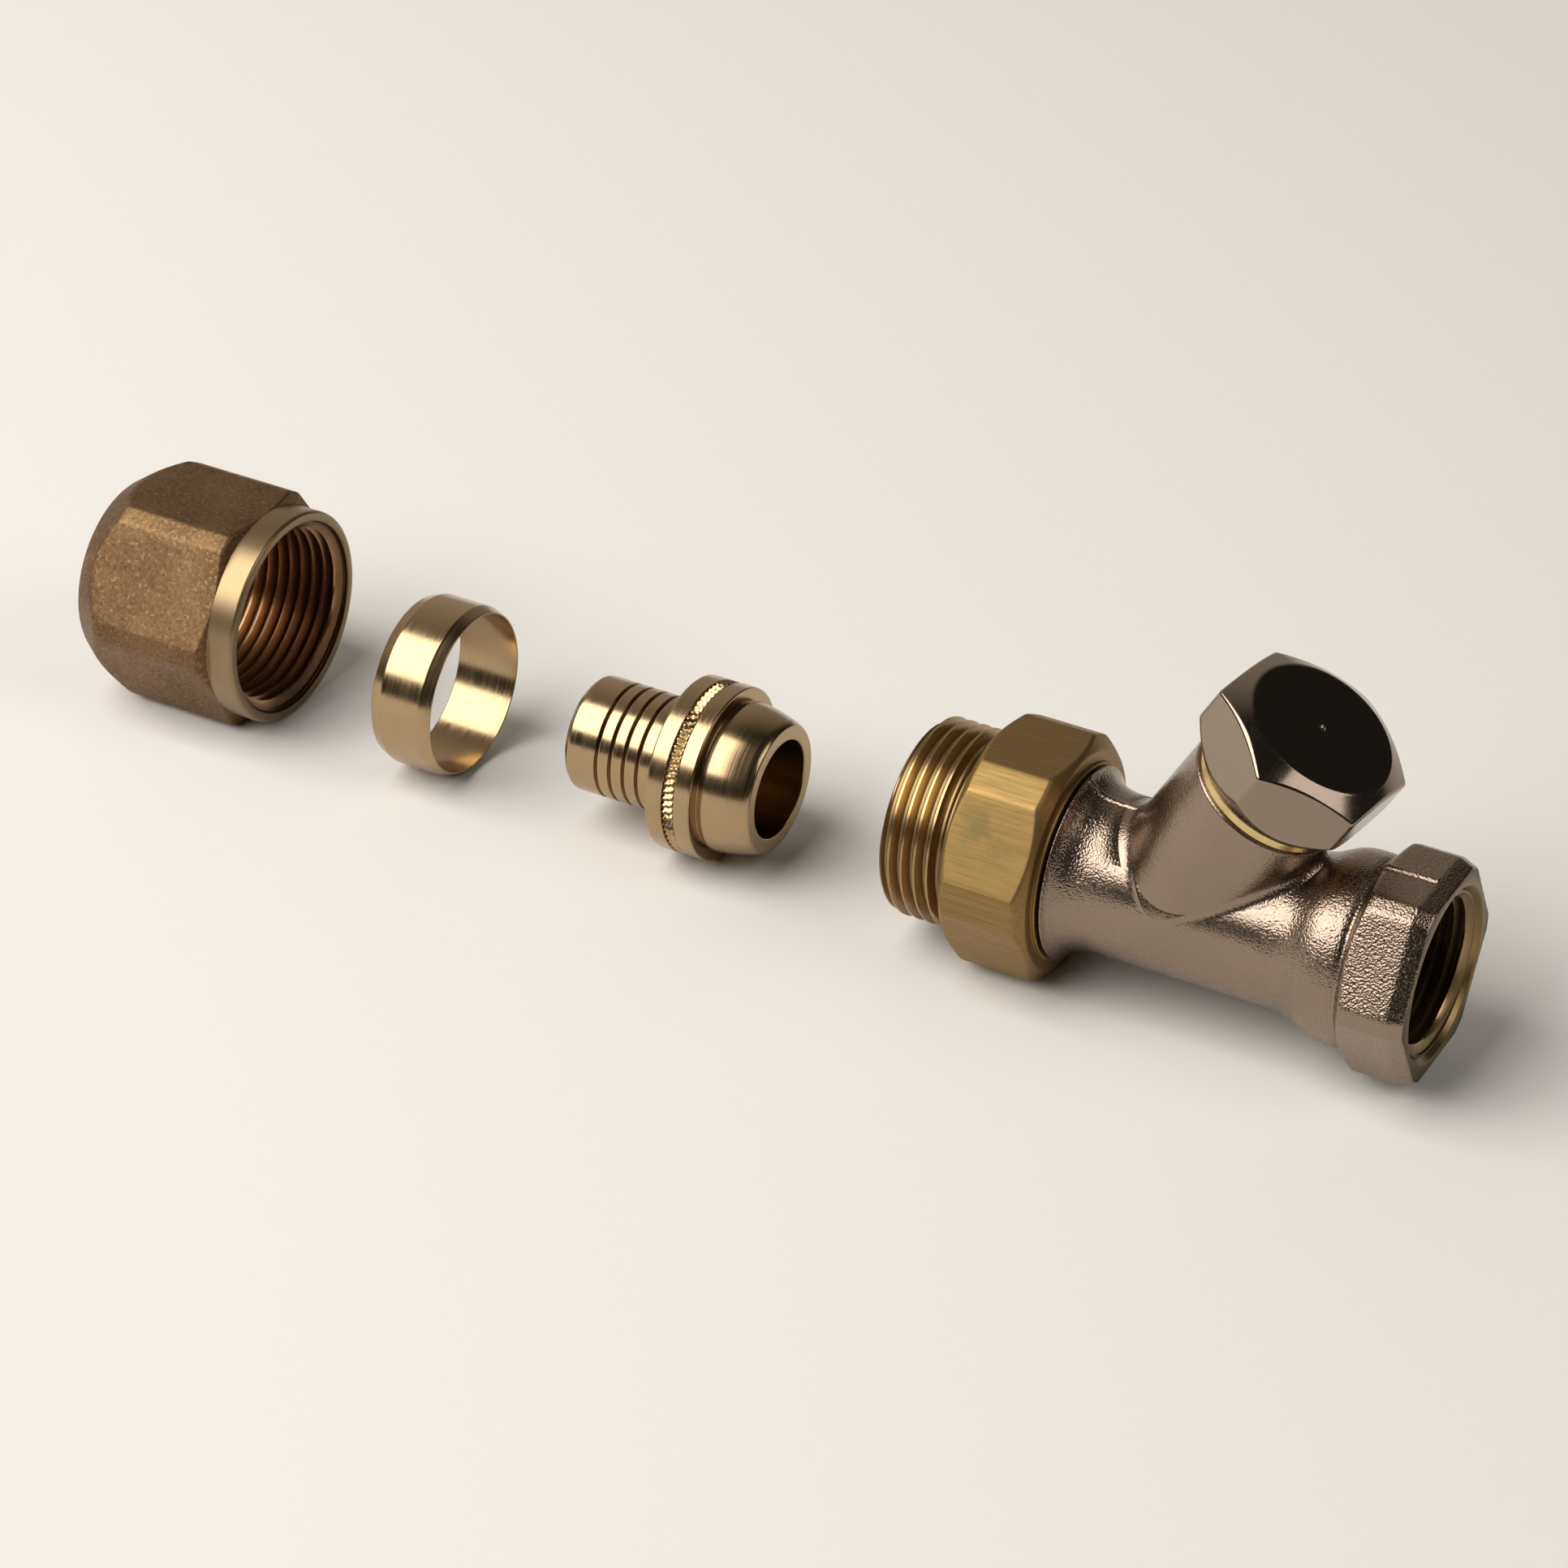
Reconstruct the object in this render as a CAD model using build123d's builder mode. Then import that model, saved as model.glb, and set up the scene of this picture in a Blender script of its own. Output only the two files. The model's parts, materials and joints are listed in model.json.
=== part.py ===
from build123d import *

import os
from math import cos, pi, radians, sin, tan

# Angle-seat return valve and its compression coupling, laid out in a row on a surface.
# The row lies along X, from the coupling nut at the left to the valve's outlet at the right.
# Z is up, the surface is at z = 0, and the origin is under the middle of the row.

# Standard sizes that the valve and its coupling are made to
union_thread_od = 26.44
union_thread_core = 24.12
outlet_thread_od = 20.96
pipe_od = 22.0
pipe_bore = 16.0

# Free spaces of the row as it is laid out
tail_gap = 21.0
olive_gap = 18.5
nut_gap = 19.8

# Clearances
thread_play = 0.12
turning_play = 0.15
sliding_play = 0.1
running_play = 0.05
seat_play = 0.25
pipe_play = 0.15
shoulder_gap = 0.3
face_gap = 0.2
ring_ease = 0.03

# Swivel nipple, along the run from its free end
nipple_af = 30.5
nipple_bevel = 2.6
nipple_len = 22.0
nipple_hex_start = 9.8
nipple_back_face_r = 14.9
nipple_back_cone = 1.2
nipple_front_face_r = 14.6
nipple_front_cone = 1.3
nipple_lip_r = 13.2
nipple_lip_len = 0.5
union_thread_len = 8.4
union_thread_lead = 1.2
union_relief_r = 11.95
socket_depth = 7.3
nipple_way_r = 7.6
nipple_web_end = 9.6
nipple_recess_len = 1.6
nipple_recess_r = 11.6

# Valve body, along the run from its flange
neck_r = 9.5
neck_edge = 0.5
body_flange_len = 1.0
body_flange_r = 13.9
body_flange_edge = 0.3
body_sweep_len = 3.3
body_len = 49.6
run_r = 10.45
waterway_r = 6.9

# Outlet end of the body, along the run from its mouth
outlet_af = 26.5
outlet_bevel = 1.3
outlet_boss_len = 8.0
outlet_end_len = 2.1
outlet_end_af = 25.0
outlet_end_bevel = 1.2
outlet_dip_len = 1.6
outlet_dip_r = 12.2
outlet_collar_gap = 0.9
outlet_collar_len = 1.5
outlet_collar_r = 12.6
outlet_flare_len = 8.0
outlet_thread_depth = 15.0
outlet_mouth_r = 11.6

# Bonnet branch, along its own axis from the run's axis
bonnet_angle = 60.0
bonnet_cross = 13.3
branch_r = 10.2
branch_len = 22.2
branch_fillet = 1.6
partition_half = 1.4
seat_r = 5.2
chamber_r = 7.8
chamber_gap = 0.6
bonnet_thread_r = 8.5
bonnet_seal_r = 9.35
bonnet_seal_depth = 1.2

# Bonnet insert, which screws into the branch and holds the spindle and the cap
skirt_gap = 1.2
insert_flange_r = 9.8
insert_flange_len = 1.4
insert_stub_r = 7.9
insert_stub_len = 3.8
insert_hex_af = 13.0
insert_hex_len = 2.6
insert_edge = 0.4
gland_r = 3.6
gland_depth = 2.2
key_well_r = 4.8
key_well_len = 2.7

# Spindle and shut-off cone, drawn with the valve open
lift = 3.0
spindle_thread_r = 4.5
spindle_stop_gap = 0.4
spindle_sink = 0.7
spindle_stem_r = 3.5
spindle_button_r = 3.2
spindle_button_len = 1.85
spindle_neck_r = 2.2
spindle_edge = 0.4
key_af = 4.0
key_depth = 4.0
stem_groove_r = 2.7
stem_groove_len = 1.2
stem_ring_pitch = 2.2
cone_r = 6.8
cone_len = 6.6
cone_rim = 0.3
cone_edge = 0.8
cone_socket_floor = 2.4
clip_gap = 0.3
clip_len = 0.8
clip_r = 3.9
clip_mouth = 60.0
seal_r = 5.95
seal_hole_r = 2.0
seal_len = 1.5

# Cap
cap_af = 23.0
cap_turn = -7.65
cap_len = 10.9
cap_foot_r = 10.3
cap_foot_len = 3.9
cap_top_r = 9.75
cap_top_cone = 2.1
cap_roof = 3.4
cap_thread_len = 4.2
cap_seat_r = 7.8
cap_dimple_r = 0.8
gasket_len = 1.0
gasket_hole_r = 4.9

# Swivel joint between nipple and neck, with its grooves placed from the neck's end
neck_gap = 0.4
swivel_gap = 0.4
neck_groove_r = 8.1
neck_groove_place = 2.0
neck_groove_len = 2.4
snap_groove_place = 6.1
snap_groove_len = 1.6
snap_groove_r = 8.75
snap_outer_r = 10.3
snap_mouth = 40.0

# Coupling nut, along the row from its back
nut_af = 30.0
nut_bevel = 1.5
nut_len = 26.8
nut_collar_len = 4.0
nut_collar_r = 15.0
nut_collar_edge = 0.4
nut_back_r = 12.8
nut_back_angle = 35.5
nut_front_cone = 0.7
nut_lead_r = 13.6
nut_lead_len = 3.0
pipe_land = 1.4

# Olive
olive_od = 23.8
olive_len = 9.2
olive_bore = 22.2
olive_end_r = 11.3
olive_cone = 1.6

# Pipe tail
tail_collar_od = 23.8
tail_collar_len = 6.6
tail_len = 28.5
tail_bore = 13.5
spigot_od = 15.8
spigot_edge = 0.7
nose_recess_len = 0.9
nose_recess_r = 9.9
nose_root_r = 10.5
nose_tip_r = 9.1
nose_len = 6.2
nose_edge = 0.4
knurl_start = 2.5
knurl_len = 1.8
knurl_depth = 0.45
knurl_teeth = 72
barb_first = 4.8
barb_count = 4
barb_pitch = 2.05
barb_depth = 0.4
barb_width = 0.6

# Places along the run, counted from the nipple's free end
neck_start = nipple_web_end + neck_gap
neck_groove_start = neck_start + neck_groove_place
snap_groove_start = neck_start + snap_groove_place
nipple_recess_start = nipple_len - nipple_recess_len
body_flange_start = nipple_len + nipple_lip_len + swivel_gap
run_start = body_flange_start + body_flange_len + body_sweep_len
bonnet_place = body_flange_start + bonnet_cross
outlet_mouth = body_flange_start + body_len
outlet_flat_end = outlet_mouth - outlet_end_len
outlet_boss_start = outlet_mouth - outlet_boss_len
outlet_dip = outlet_boss_start - outlet_dip_len
outlet_collar_end = outlet_dip - outlet_collar_gap
outlet_collar_start = outlet_collar_end - outlet_collar_len
flare_start = outlet_collar_start - outlet_flare_len

# Places along the bonnet, counted from the run's axis
seal_start = partition_half + 2 * running_play + lift
seal_end = seal_start + seal_len
cone_start = seal_start + cone_rim
cone_end = cone_start + cone_len
socket_floor = cone_start + cone_socket_floor
button_start = socket_floor + turning_play
button_end = button_start + spindle_button_len
clip_place = button_end + clip_gap
spindle_neck_end = clip_place + clip_len + clip_gap
skirt_start = cone_end + skirt_gap
chamber_end = skirt_start - chamber_gap
flange_end = branch_len + insert_flange_len
stub_end = flange_end + insert_stub_len
insert_top = stub_end + insert_hex_len
gland_start = branch_len - gland_depth
spindle_thread_start = skirt_start + face_gap
spindle_thread_end = gland_start - spindle_stop_gap
spindle_top = insert_top - spindle_sink
stem_ring_low = gland_start + lift + stem_groove_len / 2 + sliding_play
stem_ring_high = stem_ring_low + stem_ring_pitch
cap_start = flange_end + face_gap
cap_end = cap_start + cap_len

# Places along the row, counted from the nipple's free end
tail_right = -tail_gap
tail_left = tail_right - tail_len
olive_right = tail_left - olive_gap
olive_left = olive_right - olive_len
nut_mouth = olive_left - nut_gap
nut_back = nut_mouth - nut_len
row_middle = (nut_back + outlet_mouth) / 2


def lying(radius):
    """Profile plane of a lying piece: along the row, and out from an axis at that height."""
    return Plane(origin=(-row_middle, 0, radius), x_dir=(1, 0, 0), z_dir=(0, -1, 0))


def axis_of(frame):
    """Turning axis of a profile plane."""
    return Axis(frame.origin, frame.x_dir)


def across(frame, place):
    """Plane square to a profile plane's axis, at a place along it."""
    return Plane(origin=frame.from_local_coords((place, 0, 0)), x_dir=(0, 1, 0), z_dir=frame.x_dir)


def turned(frame, *points):
    """Half section of a turned shape, from points of place along the axis and radius."""
    with BuildSketch(frame) as half:
        with BuildLine():
            Polyline(*points, close=True)
        make_face()
    return half.sketch


def ring(frame, start, end, inner, outer):
    """Half section of a plain ring."""
    return turned(frame, (start, inner), (end, inner), (end, outer), (start, outer))


def o_ring(frame, place, inner, outer):
    """Half section of an O-ring between two radii."""
    with BuildSketch(frame) as half:
        with Locations((place, (inner + outer) / 2)):
            Circle((outer - inner) / 2)
    return half.sketch


def hexagon(frame, place, across_flats, bevel=0.0, turn=0.0):
    """Hexagon square to an axis, with its corners cut back by the bevel."""
    with BuildSketch(across(frame, place)) as outline:
        RegularPolygon(across_flats / 2, 6, major_radius=False, rotation=turn)
        if bevel:
            chamfer(outline.vertices(), length=bevel)
    return outline.sketch


def ring_mouth(frame, start, end, reach, angle):
    """Wedge that opens a ring into a C, away from the surface."""
    half = tan(radians(angle / 2)) * reach
    with BuildPart() as wedge:
        with BuildSketch(across(frame, start)):
            with BuildLine():
                Polyline((0, 0), (-half, reach), (half, reach), close=True)
            make_face()
        extrude(amount=end - start)
    return wedge.part


run_frame = lying(nipple_af / 2)
nut_frame = lying(nut_af / 2)
olive_frame = lying(olive_od / 2)
tail_frame = lying(tail_collar_od / 2)
bonnet_frame = Plane(
    origin=run_frame.from_local_coords((bonnet_place, 0, 0)),
    x_dir=(cos(radians(bonnet_angle)), 0, sin(radians(bonnet_angle))),
    z_dir=(0, -1, 0),
)

# Swivel nipple: hexagon bar turned down to a union thread, hollow, with a seat for the tail's nose
nipple_corner_r = nipple_af / 2 / cos(radians(30))
nipple_edge_r = ((nipple_af / 2) ** 2 + (nipple_af / 2 * tan(radians(30)) - nipple_bevel) ** 2) ** 0.5
nipple_back_slope = nipple_back_cone / (nipple_edge_r - nipple_back_face_r)
nipple_front_slope = nipple_front_cone / (nipple_edge_r - nipple_front_face_r)
back_reach = nipple_back_slope * (nipple_corner_r - nipple_back_face_r)
front_reach = nipple_front_slope * (nipple_corner_r - nipple_front_face_r)
union_r = union_thread_od / 2
nose_slope = (nose_root_r - nose_tip_r) / nose_len
socket_mouth_r = nose_root_r + seat_play + nose_slope * (nose_recess_len - shoulder_gap)
socket_floor_r = socket_mouth_r - nose_slope * socket_depth
nipple_bore_r = neck_r + turning_play

with BuildPart() as swivel_nipple:
    extrude(
        hexagon(run_frame, nipple_hex_start, nipple_af, nipple_bevel),
        amount=nipple_len - nipple_hex_start,
    )
    revolve(
        turned(
            run_frame,
            (nipple_hex_start, 0),
            (nipple_hex_start, nipple_back_face_r),
            (nipple_hex_start + back_reach, nipple_corner_r),
            (nipple_len - front_reach, nipple_corner_r),
            (nipple_len, nipple_front_face_r),
            (nipple_len, 0),
        ),
        axis=axis_of(run_frame),
        mode=Mode.INTERSECT,
    )
    revolve(
        turned(
            run_frame,
            (0, 0),
            (0, union_thread_core / 2),
            (union_thread_lead, union_r),
            (union_thread_len, union_r),
            (union_thread_len, union_relief_r),
            (nipple_hex_start, union_relief_r),
            (nipple_hex_start, 0),
        ),
        axis=axis_of(run_frame),
    )
    revolve(
        turned(
            run_frame,
            (nipple_len, 0),
            (nipple_len, nipple_lip_r),
            (nipple_len + nipple_lip_len, nipple_lip_r),
            (nipple_len + nipple_lip_len, 0),
        ),
        axis=axis_of(run_frame),
    )
    revolve(
        turned(
            run_frame,
            (0, 0),
            (0, socket_mouth_r),
            (socket_depth, socket_floor_r),
            (socket_depth, nipple_way_r),
            (nipple_web_end, nipple_way_r),
            (nipple_web_end, nipple_bore_r),
            (snap_groove_start - sliding_play, nipple_bore_r),
            (snap_groove_start - sliding_play, snap_outer_r + turning_play),
            (snap_groove_start + snap_groove_len + sliding_play, snap_outer_r + turning_play),
            (snap_groove_start + snap_groove_len + sliding_play, nipple_bore_r),
            (nipple_recess_start, nipple_bore_r),
            (nipple_recess_start, nipple_recess_r),
            (nipple_len + nipple_lip_len, nipple_recess_r),
            (nipple_len + nipple_lip_len, 0),
        ),
        axis=axis_of(run_frame),
        mode=Mode.SUBTRACT,
    )

# Waterways of the body, each ending on its own side of the slanted partition
with BuildPart() as inlet_way:
    with BuildSketch(across(run_frame, neck_start)):
        Circle(waterway_r)
    extrude(amount=outlet_mouth - neck_start)
    split(bisect_by=across(bonnet_frame, -partition_half), keep=Keep.BOTTOM)

with BuildPart() as outlet_way:
    with BuildSketch(across(run_frame, neck_start)):
        Circle(waterway_r)
    extrude(amount=outlet_mouth - neck_start)
    split(bisect_by=across(bonnet_frame, partition_half), keep=Keep.TOP)

# Flats of the outlet end: a hexagon with bevelled corners that tapers to the mouth, and the ring around it
outlet_corner_r = outlet_af / 2 / cos(radians(30))
with BuildPart() as outlet_hexagon:
    extrude(hexagon(run_frame, outlet_dip, outlet_af, outlet_bevel), amount=outlet_flat_end - outlet_dip)
    loft(
        [
            hexagon(run_frame, outlet_flat_end, outlet_af, outlet_bevel),
            hexagon(run_frame, outlet_mouth, outlet_end_af, outlet_end_bevel),
        ],
        ruled=True,
    )

with BuildPart() as outlet_flats:
    with BuildSketch(across(run_frame, outlet_dip)):
        Circle(outlet_af)
    extrude(amount=outlet_boss_len + outlet_dip_len)
    add(outlet_hexagon.part, mode=Mode.SUBTRACT)

# Valve body: run with its neck, slanted bonnet branch and flatted outlet end
outlet_r = outlet_thread_od / 2
with BuildPart() as valve_body:
    with BuildSketch(across(run_frame, body_flange_start)):
        Circle(run_r)
    extrude(amount=outlet_collar_end - body_flange_start)
    with BuildSketch(across(bonnet_frame, 0)):
        Circle(branch_r)
    extrude(amount=branch_len)
    curved_edges = valve_body.edges().filter_by(GeomType.LINE, reverse=True)
    crease = curved_edges.filter_by(GeomType.CIRCLE, reverse=True)
    fillet(crease, radius=branch_fillet)
    with BuildSketch(run_frame):
        with BuildLine():
            Polyline(
                (flare_start, run_r),
                (flare_start, 0),
                (outlet_mouth, 0),
                (outlet_mouth, outlet_corner_r),
                (outlet_boss_start, outlet_corner_r),
                (outlet_dip, outlet_dip_r),
                (outlet_collar_end, outlet_collar_r),
                (outlet_collar_start, outlet_collar_r),
            )
            Bezier(
                (outlet_collar_start, outlet_collar_r),
                ((flare_start + outlet_collar_start) / 2, outlet_collar_r),
                ((flare_start + outlet_collar_start) / 2, run_r),
                (flare_start, run_r),
            )
        make_face()
    revolve(axis=axis_of(run_frame))
    add(outlet_flats.part, mode=Mode.SUBTRACT)
    with BuildSketch(run_frame):
        with BuildLine():
            Polyline(
                (run_start, run_r),
                (run_start, 0),
                (neck_start, 0),
                (neck_start, neck_r - neck_edge),
                (neck_start + neck_edge, neck_r),
                (neck_groove_start, neck_r),
                (neck_groove_start, neck_groove_r),
                (neck_groove_start + neck_groove_len, neck_groove_r),
                (neck_groove_start + neck_groove_len, neck_r),
                (snap_groove_start, neck_r),
                (snap_groove_start, snap_groove_r),
                (snap_groove_start + snap_groove_len, snap_groove_r),
                (snap_groove_start + snap_groove_len, neck_r),
                (body_flange_start, neck_r),
                (body_flange_start, body_flange_r - body_flange_edge),
                (body_flange_start + body_flange_edge, body_flange_r),
                (body_flange_start + body_flange_len, body_flange_r),
            )
            Bezier(
                (body_flange_start + body_flange_len, body_flange_r),
                (body_flange_start + body_flange_len + body_flange_edge, run_r + body_flange_edge),
                (run_start, run_r),
            )
        make_face()
    revolve(axis=axis_of(run_frame))
    add(inlet_way.part, mode=Mode.SUBTRACT)
    add(outlet_way.part, mode=Mode.SUBTRACT)
    revolve(
        ring(bonnet_frame, -partition_half - face_gap, partition_half + face_gap, 0, seat_r),
        axis=axis_of(bonnet_frame),
        mode=Mode.SUBTRACT,
    )
    revolve(
        turned(
            bonnet_frame,
            (partition_half, 0),
            (partition_half, chamber_r),
            (chamber_end, chamber_r),
            (chamber_end, bonnet_thread_r + thread_play),
            (branch_len - bonnet_seal_depth, bonnet_thread_r + thread_play),
            (branch_len - bonnet_seal_depth, bonnet_seal_r),
            (branch_len, bonnet_seal_r),
            (branch_len, 0),
        ),
        axis=axis_of(bonnet_frame),
        mode=Mode.SUBTRACT,
    )
    revolve(
        turned(
            run_frame,
            (outlet_mouth - outlet_thread_depth, 0),
            (outlet_mouth - outlet_thread_depth, outlet_r),
            (outlet_mouth - (outlet_mouth_r - outlet_r), outlet_r),
            (outlet_mouth, outlet_mouth_r),
            (outlet_mouth, 0),
        ),
        axis=axis_of(run_frame),
        mode=Mode.SUBTRACT,
    )

# Rings of the swivel joint
with BuildPart() as nipple_o_ring:
    revolve(
        o_ring(
            run_frame,
            neck_groove_start + neck_groove_len / 2,
            neck_groove_r + ring_ease,
            nipple_bore_r - ring_ease,
        ),
        axis=axis_of(run_frame),
    )

with BuildPart() as nipple_retaining_ring:
    revolve(
        ring(
            run_frame,
            snap_groove_start + sliding_play,
            snap_groove_start + snap_groove_len - sliding_play,
            snap_groove_r + sliding_play,
            snap_outer_r,
        ),
        axis=axis_of(run_frame),
    )
    add(
        ring_mouth(
            run_frame,
            snap_groove_start,
            snap_groove_start + snap_groove_len,
            2 * snap_outer_r,
            snap_mouth,
        ),
        mode=Mode.SUBTRACT,
    )

# Bonnet insert with its O-ring
with BuildPart() as bonnet_insert:
    revolve(
        turned(
            bonnet_frame,
            (skirt_start, 0),
            (skirt_start, bonnet_thread_r - insert_edge),
            (skirt_start + insert_edge, bonnet_thread_r),
            (branch_len, bonnet_thread_r),
            (branch_len, insert_flange_r),
            (flange_end - insert_edge, insert_flange_r),
            (flange_end, insert_flange_r - insert_edge),
            (flange_end, insert_stub_r),
            (stub_end - insert_edge, insert_stub_r),
            (stub_end, insert_stub_r - insert_edge),
            (stub_end, 0),
        ),
        axis=axis_of(bonnet_frame),
    )
    extrude(hexagon(bonnet_frame, stub_end, insert_hex_af), amount=insert_hex_len)
    revolve(
        turned(
            bonnet_frame,
            (skirt_start, 0),
            (skirt_start, spindle_thread_r + sliding_play),
            (gland_start, spindle_thread_r + sliding_play),
            (gland_start, gland_r),
            (insert_top - key_well_len, gland_r),
            (insert_top - key_well_len, key_well_r),
            (insert_top, key_well_r),
            (insert_top, 0),
        ),
        axis=axis_of(bonnet_frame),
        mode=Mode.SUBTRACT,
    )

with BuildPart() as bonnet_o_ring:
    revolve(
        o_ring(
            bonnet_frame,
            branch_len - bonnet_seal_depth / 2,
            bonnet_thread_r + ring_ease,
            bonnet_seal_r - ring_ease,
        ),
        axis=axis_of(bonnet_frame),
    )

# Shut-off cone with its flat seal and the clip that holds it on the spindle
cone_socket_r = spindle_button_r + sliding_play
clip_groove_r = clip_r + sliding_play
with BuildPart() as shutoff_cone:
    revolve(
        turned(
            bonnet_frame,
            (cone_start, seal_r + running_play),
            (cone_start, cone_r),
            (cone_end - cone_edge, cone_r),
            (cone_end, cone_r - cone_edge),
            (cone_end, cone_socket_r),
            (clip_place + clip_len + running_play, cone_socket_r),
            (clip_place + clip_len + running_play, clip_groove_r),
            (clip_place - running_play, clip_groove_r),
            (clip_place - running_play, cone_socket_r),
            (socket_floor, cone_socket_r),
            (socket_floor, 0),
            (cone_start, 0),
            (cone_start, seal_hole_r - running_play),
            (seal_end + running_play, seal_hole_r - running_play),
            (seal_end + running_play, seal_r + running_play),
        ),
        axis=axis_of(bonnet_frame),
    )

with BuildPart() as seat_seal:
    revolve(ring(bonnet_frame, seal_start, seal_end, seal_hole_r, seal_r), axis=axis_of(bonnet_frame))

with BuildPart() as cone_retaining_clip:
    revolve(
        ring(bonnet_frame, clip_place, clip_place + clip_len, spindle_neck_r + turning_play, clip_r),
        axis=axis_of(bonnet_frame),
    )
    add(
        ring_mouth(bonnet_frame, clip_place, clip_place + clip_len, 2 * clip_r, clip_mouth),
        mode=Mode.SUBTRACT,
    )

# Spindle with its two O-rings and the key socket in its top
with BuildPart() as spindle:
    revolve(
        turned(
            bonnet_frame,
            (button_start, 0),
            (button_start, spindle_button_r - spindle_edge),
            (button_start + spindle_edge, spindle_button_r),
            (button_end, spindle_button_r),
            (button_end, spindle_neck_r),
            (spindle_neck_end, spindle_neck_r),
            (spindle_neck_end, spindle_button_r),
            (spindle_thread_start, spindle_button_r),
            (spindle_thread_start, spindle_thread_r - spindle_edge),
            (spindle_thread_start + spindle_edge, spindle_thread_r),
            (spindle_thread_end - spindle_edge, spindle_thread_r),
            (spindle_thread_end, spindle_thread_r - spindle_edge),
            (spindle_thread_end, spindle_stem_r),
            (stem_ring_low - stem_groove_len / 2, spindle_stem_r),
            (stem_ring_low - stem_groove_len / 2, stem_groove_r),
            (stem_ring_low + stem_groove_len / 2, stem_groove_r),
            (stem_ring_low + stem_groove_len / 2, spindle_stem_r),
            (stem_ring_high - stem_groove_len / 2, spindle_stem_r),
            (stem_ring_high - stem_groove_len / 2, stem_groove_r),
            (stem_ring_high + stem_groove_len / 2, stem_groove_r),
            (stem_ring_high + stem_groove_len / 2, spindle_stem_r),
            (spindle_top - spindle_edge, spindle_stem_r),
            (spindle_top, spindle_stem_r - spindle_edge),
            (spindle_top, 0),
        ),
        axis=axis_of(bonnet_frame),
    )
    extrude(hexagon(bonnet_frame, spindle_top - key_depth, key_af), amount=key_depth, mode=Mode.SUBTRACT)

with BuildPart() as spindle_o_ring_lower:
    revolve(
        o_ring(bonnet_frame, stem_ring_low, stem_groove_r + ring_ease, gland_r - ring_ease),
        axis=axis_of(bonnet_frame),
    )

with BuildPart() as spindle_o_ring_upper:
    revolve(
        o_ring(bonnet_frame, stem_ring_high, stem_groove_r + ring_ease, gland_r - ring_ease),
        axis=axis_of(bonnet_frame),
    )

# Hexagon cap with its gasket
cap_corner_r = cap_af / 2 / cos(radians(30))
with BuildPart() as cap:
    extrude(hexagon(bonnet_frame, cap_start, cap_af, turn=cap_turn), amount=cap_len)
    revolve(
        turned(
            bonnet_frame,
            (cap_start, 0),
            (cap_start, cap_foot_r),
            (cap_start + cap_foot_len, cap_corner_r),
            (cap_end - cap_top_cone, cap_corner_r),
            (cap_end, cap_top_r),
            (cap_end, 0),
        ),
        axis=axis_of(bonnet_frame),
        mode=Mode.INTERSECT,
    )
    revolve(
        turned(
            bonnet_frame,
            (cap_start, 0),
            (cap_start, insert_stub_r + thread_play),
            (cap_start + cap_thread_len, insert_stub_r + thread_play),
            (cap_start + cap_thread_len, cap_seat_r),
            (cap_end - cap_roof, cap_seat_r),
            (cap_end - cap_roof, 0),
        ),
        axis=axis_of(bonnet_frame),
        mode=Mode.SUBTRACT,
    )
    revolve(
        turned(bonnet_frame, (cap_end - cap_dimple_r, 0), (cap_end, 0), (cap_end, cap_dimple_r)),
        axis=axis_of(bonnet_frame),
        mode=Mode.SUBTRACT,
    )

with BuildPart() as cap_gasket:
    revolve(
        ring(
            bonnet_frame,
            cap_end - cap_roof - gasket_len,
            cap_end - cap_roof,
            gasket_hole_r,
            cap_seat_r - face_gap,
        ),
        axis=axis_of(bonnet_frame),
    )

# Coupling nut: hexagon with a cone towards the pipe and a round collar at the mouth
nut_corner_r = nut_af / 2 / cos(radians(30))
nut_edge_r = ((nut_af / 2) ** 2 + (nut_af / 2 * tan(radians(30)) - nut_bevel) ** 2) ** 0.5
nut_hex_end = nut_mouth - nut_collar_len
nut_front_reach = nut_front_cone * (nut_corner_r - nut_af / 2) / (nut_edge_r - nut_af / 2)
nut_thread_r = union_r + thread_play
pipe_hole_r = pipe_od / 2 + pipe_play
nut_cone_end = nut_back + pipe_land + nut_thread_r - pipe_hole_r
with BuildPart() as coupling_nut:
    extrude(hexagon(nut_frame, nut_back, nut_af, nut_bevel), amount=nut_hex_end - nut_back)
    revolve(
        turned(
            nut_frame,
            (nut_back, 0),
            (nut_back, nut_back_r),
            (nut_back + (nut_corner_r - nut_back_r) / tan(radians(nut_back_angle)), nut_corner_r),
            (nut_hex_end - nut_front_reach, nut_corner_r),
            (nut_hex_end, nut_af / 2),
            (nut_hex_end, 0),
        ),
        axis=axis_of(nut_frame),
        mode=Mode.INTERSECT,
    )
    revolve(
        turned(
            nut_frame,
            (nut_hex_end, 0),
            (nut_hex_end, nut_collar_r),
            (nut_mouth - nut_collar_edge, nut_collar_r),
            (nut_mouth, nut_collar_r - nut_collar_edge),
            (nut_mouth, 0),
        ),
        axis=axis_of(nut_frame),
    )
    revolve(
        turned(
            nut_frame,
            (nut_back, 0),
            (nut_back, pipe_hole_r),
            (nut_back + pipe_land, pipe_hole_r),
            (nut_cone_end, nut_thread_r),
            (nut_mouth - nut_lead_len, nut_thread_r),
            (nut_mouth - nut_lead_len, nut_lead_r),
            (nut_mouth, nut_lead_r),
            (nut_mouth, 0),
        ),
        axis=axis_of(nut_frame),
        mode=Mode.SUBTRACT,
    )

# Olive: plain ring with a cone at each end
with BuildPart() as olive:
    revolve(
        turned(
            olive_frame,
            (olive_left, olive_bore / 2),
            (olive_left, olive_end_r),
            (olive_left + olive_cone, olive_od / 2),
            (olive_right - olive_cone, olive_od / 2),
            (olive_right, olive_end_r),
            (olive_right, olive_bore / 2),
        ),
        axis=axis_of(olive_frame),
    )

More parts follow.
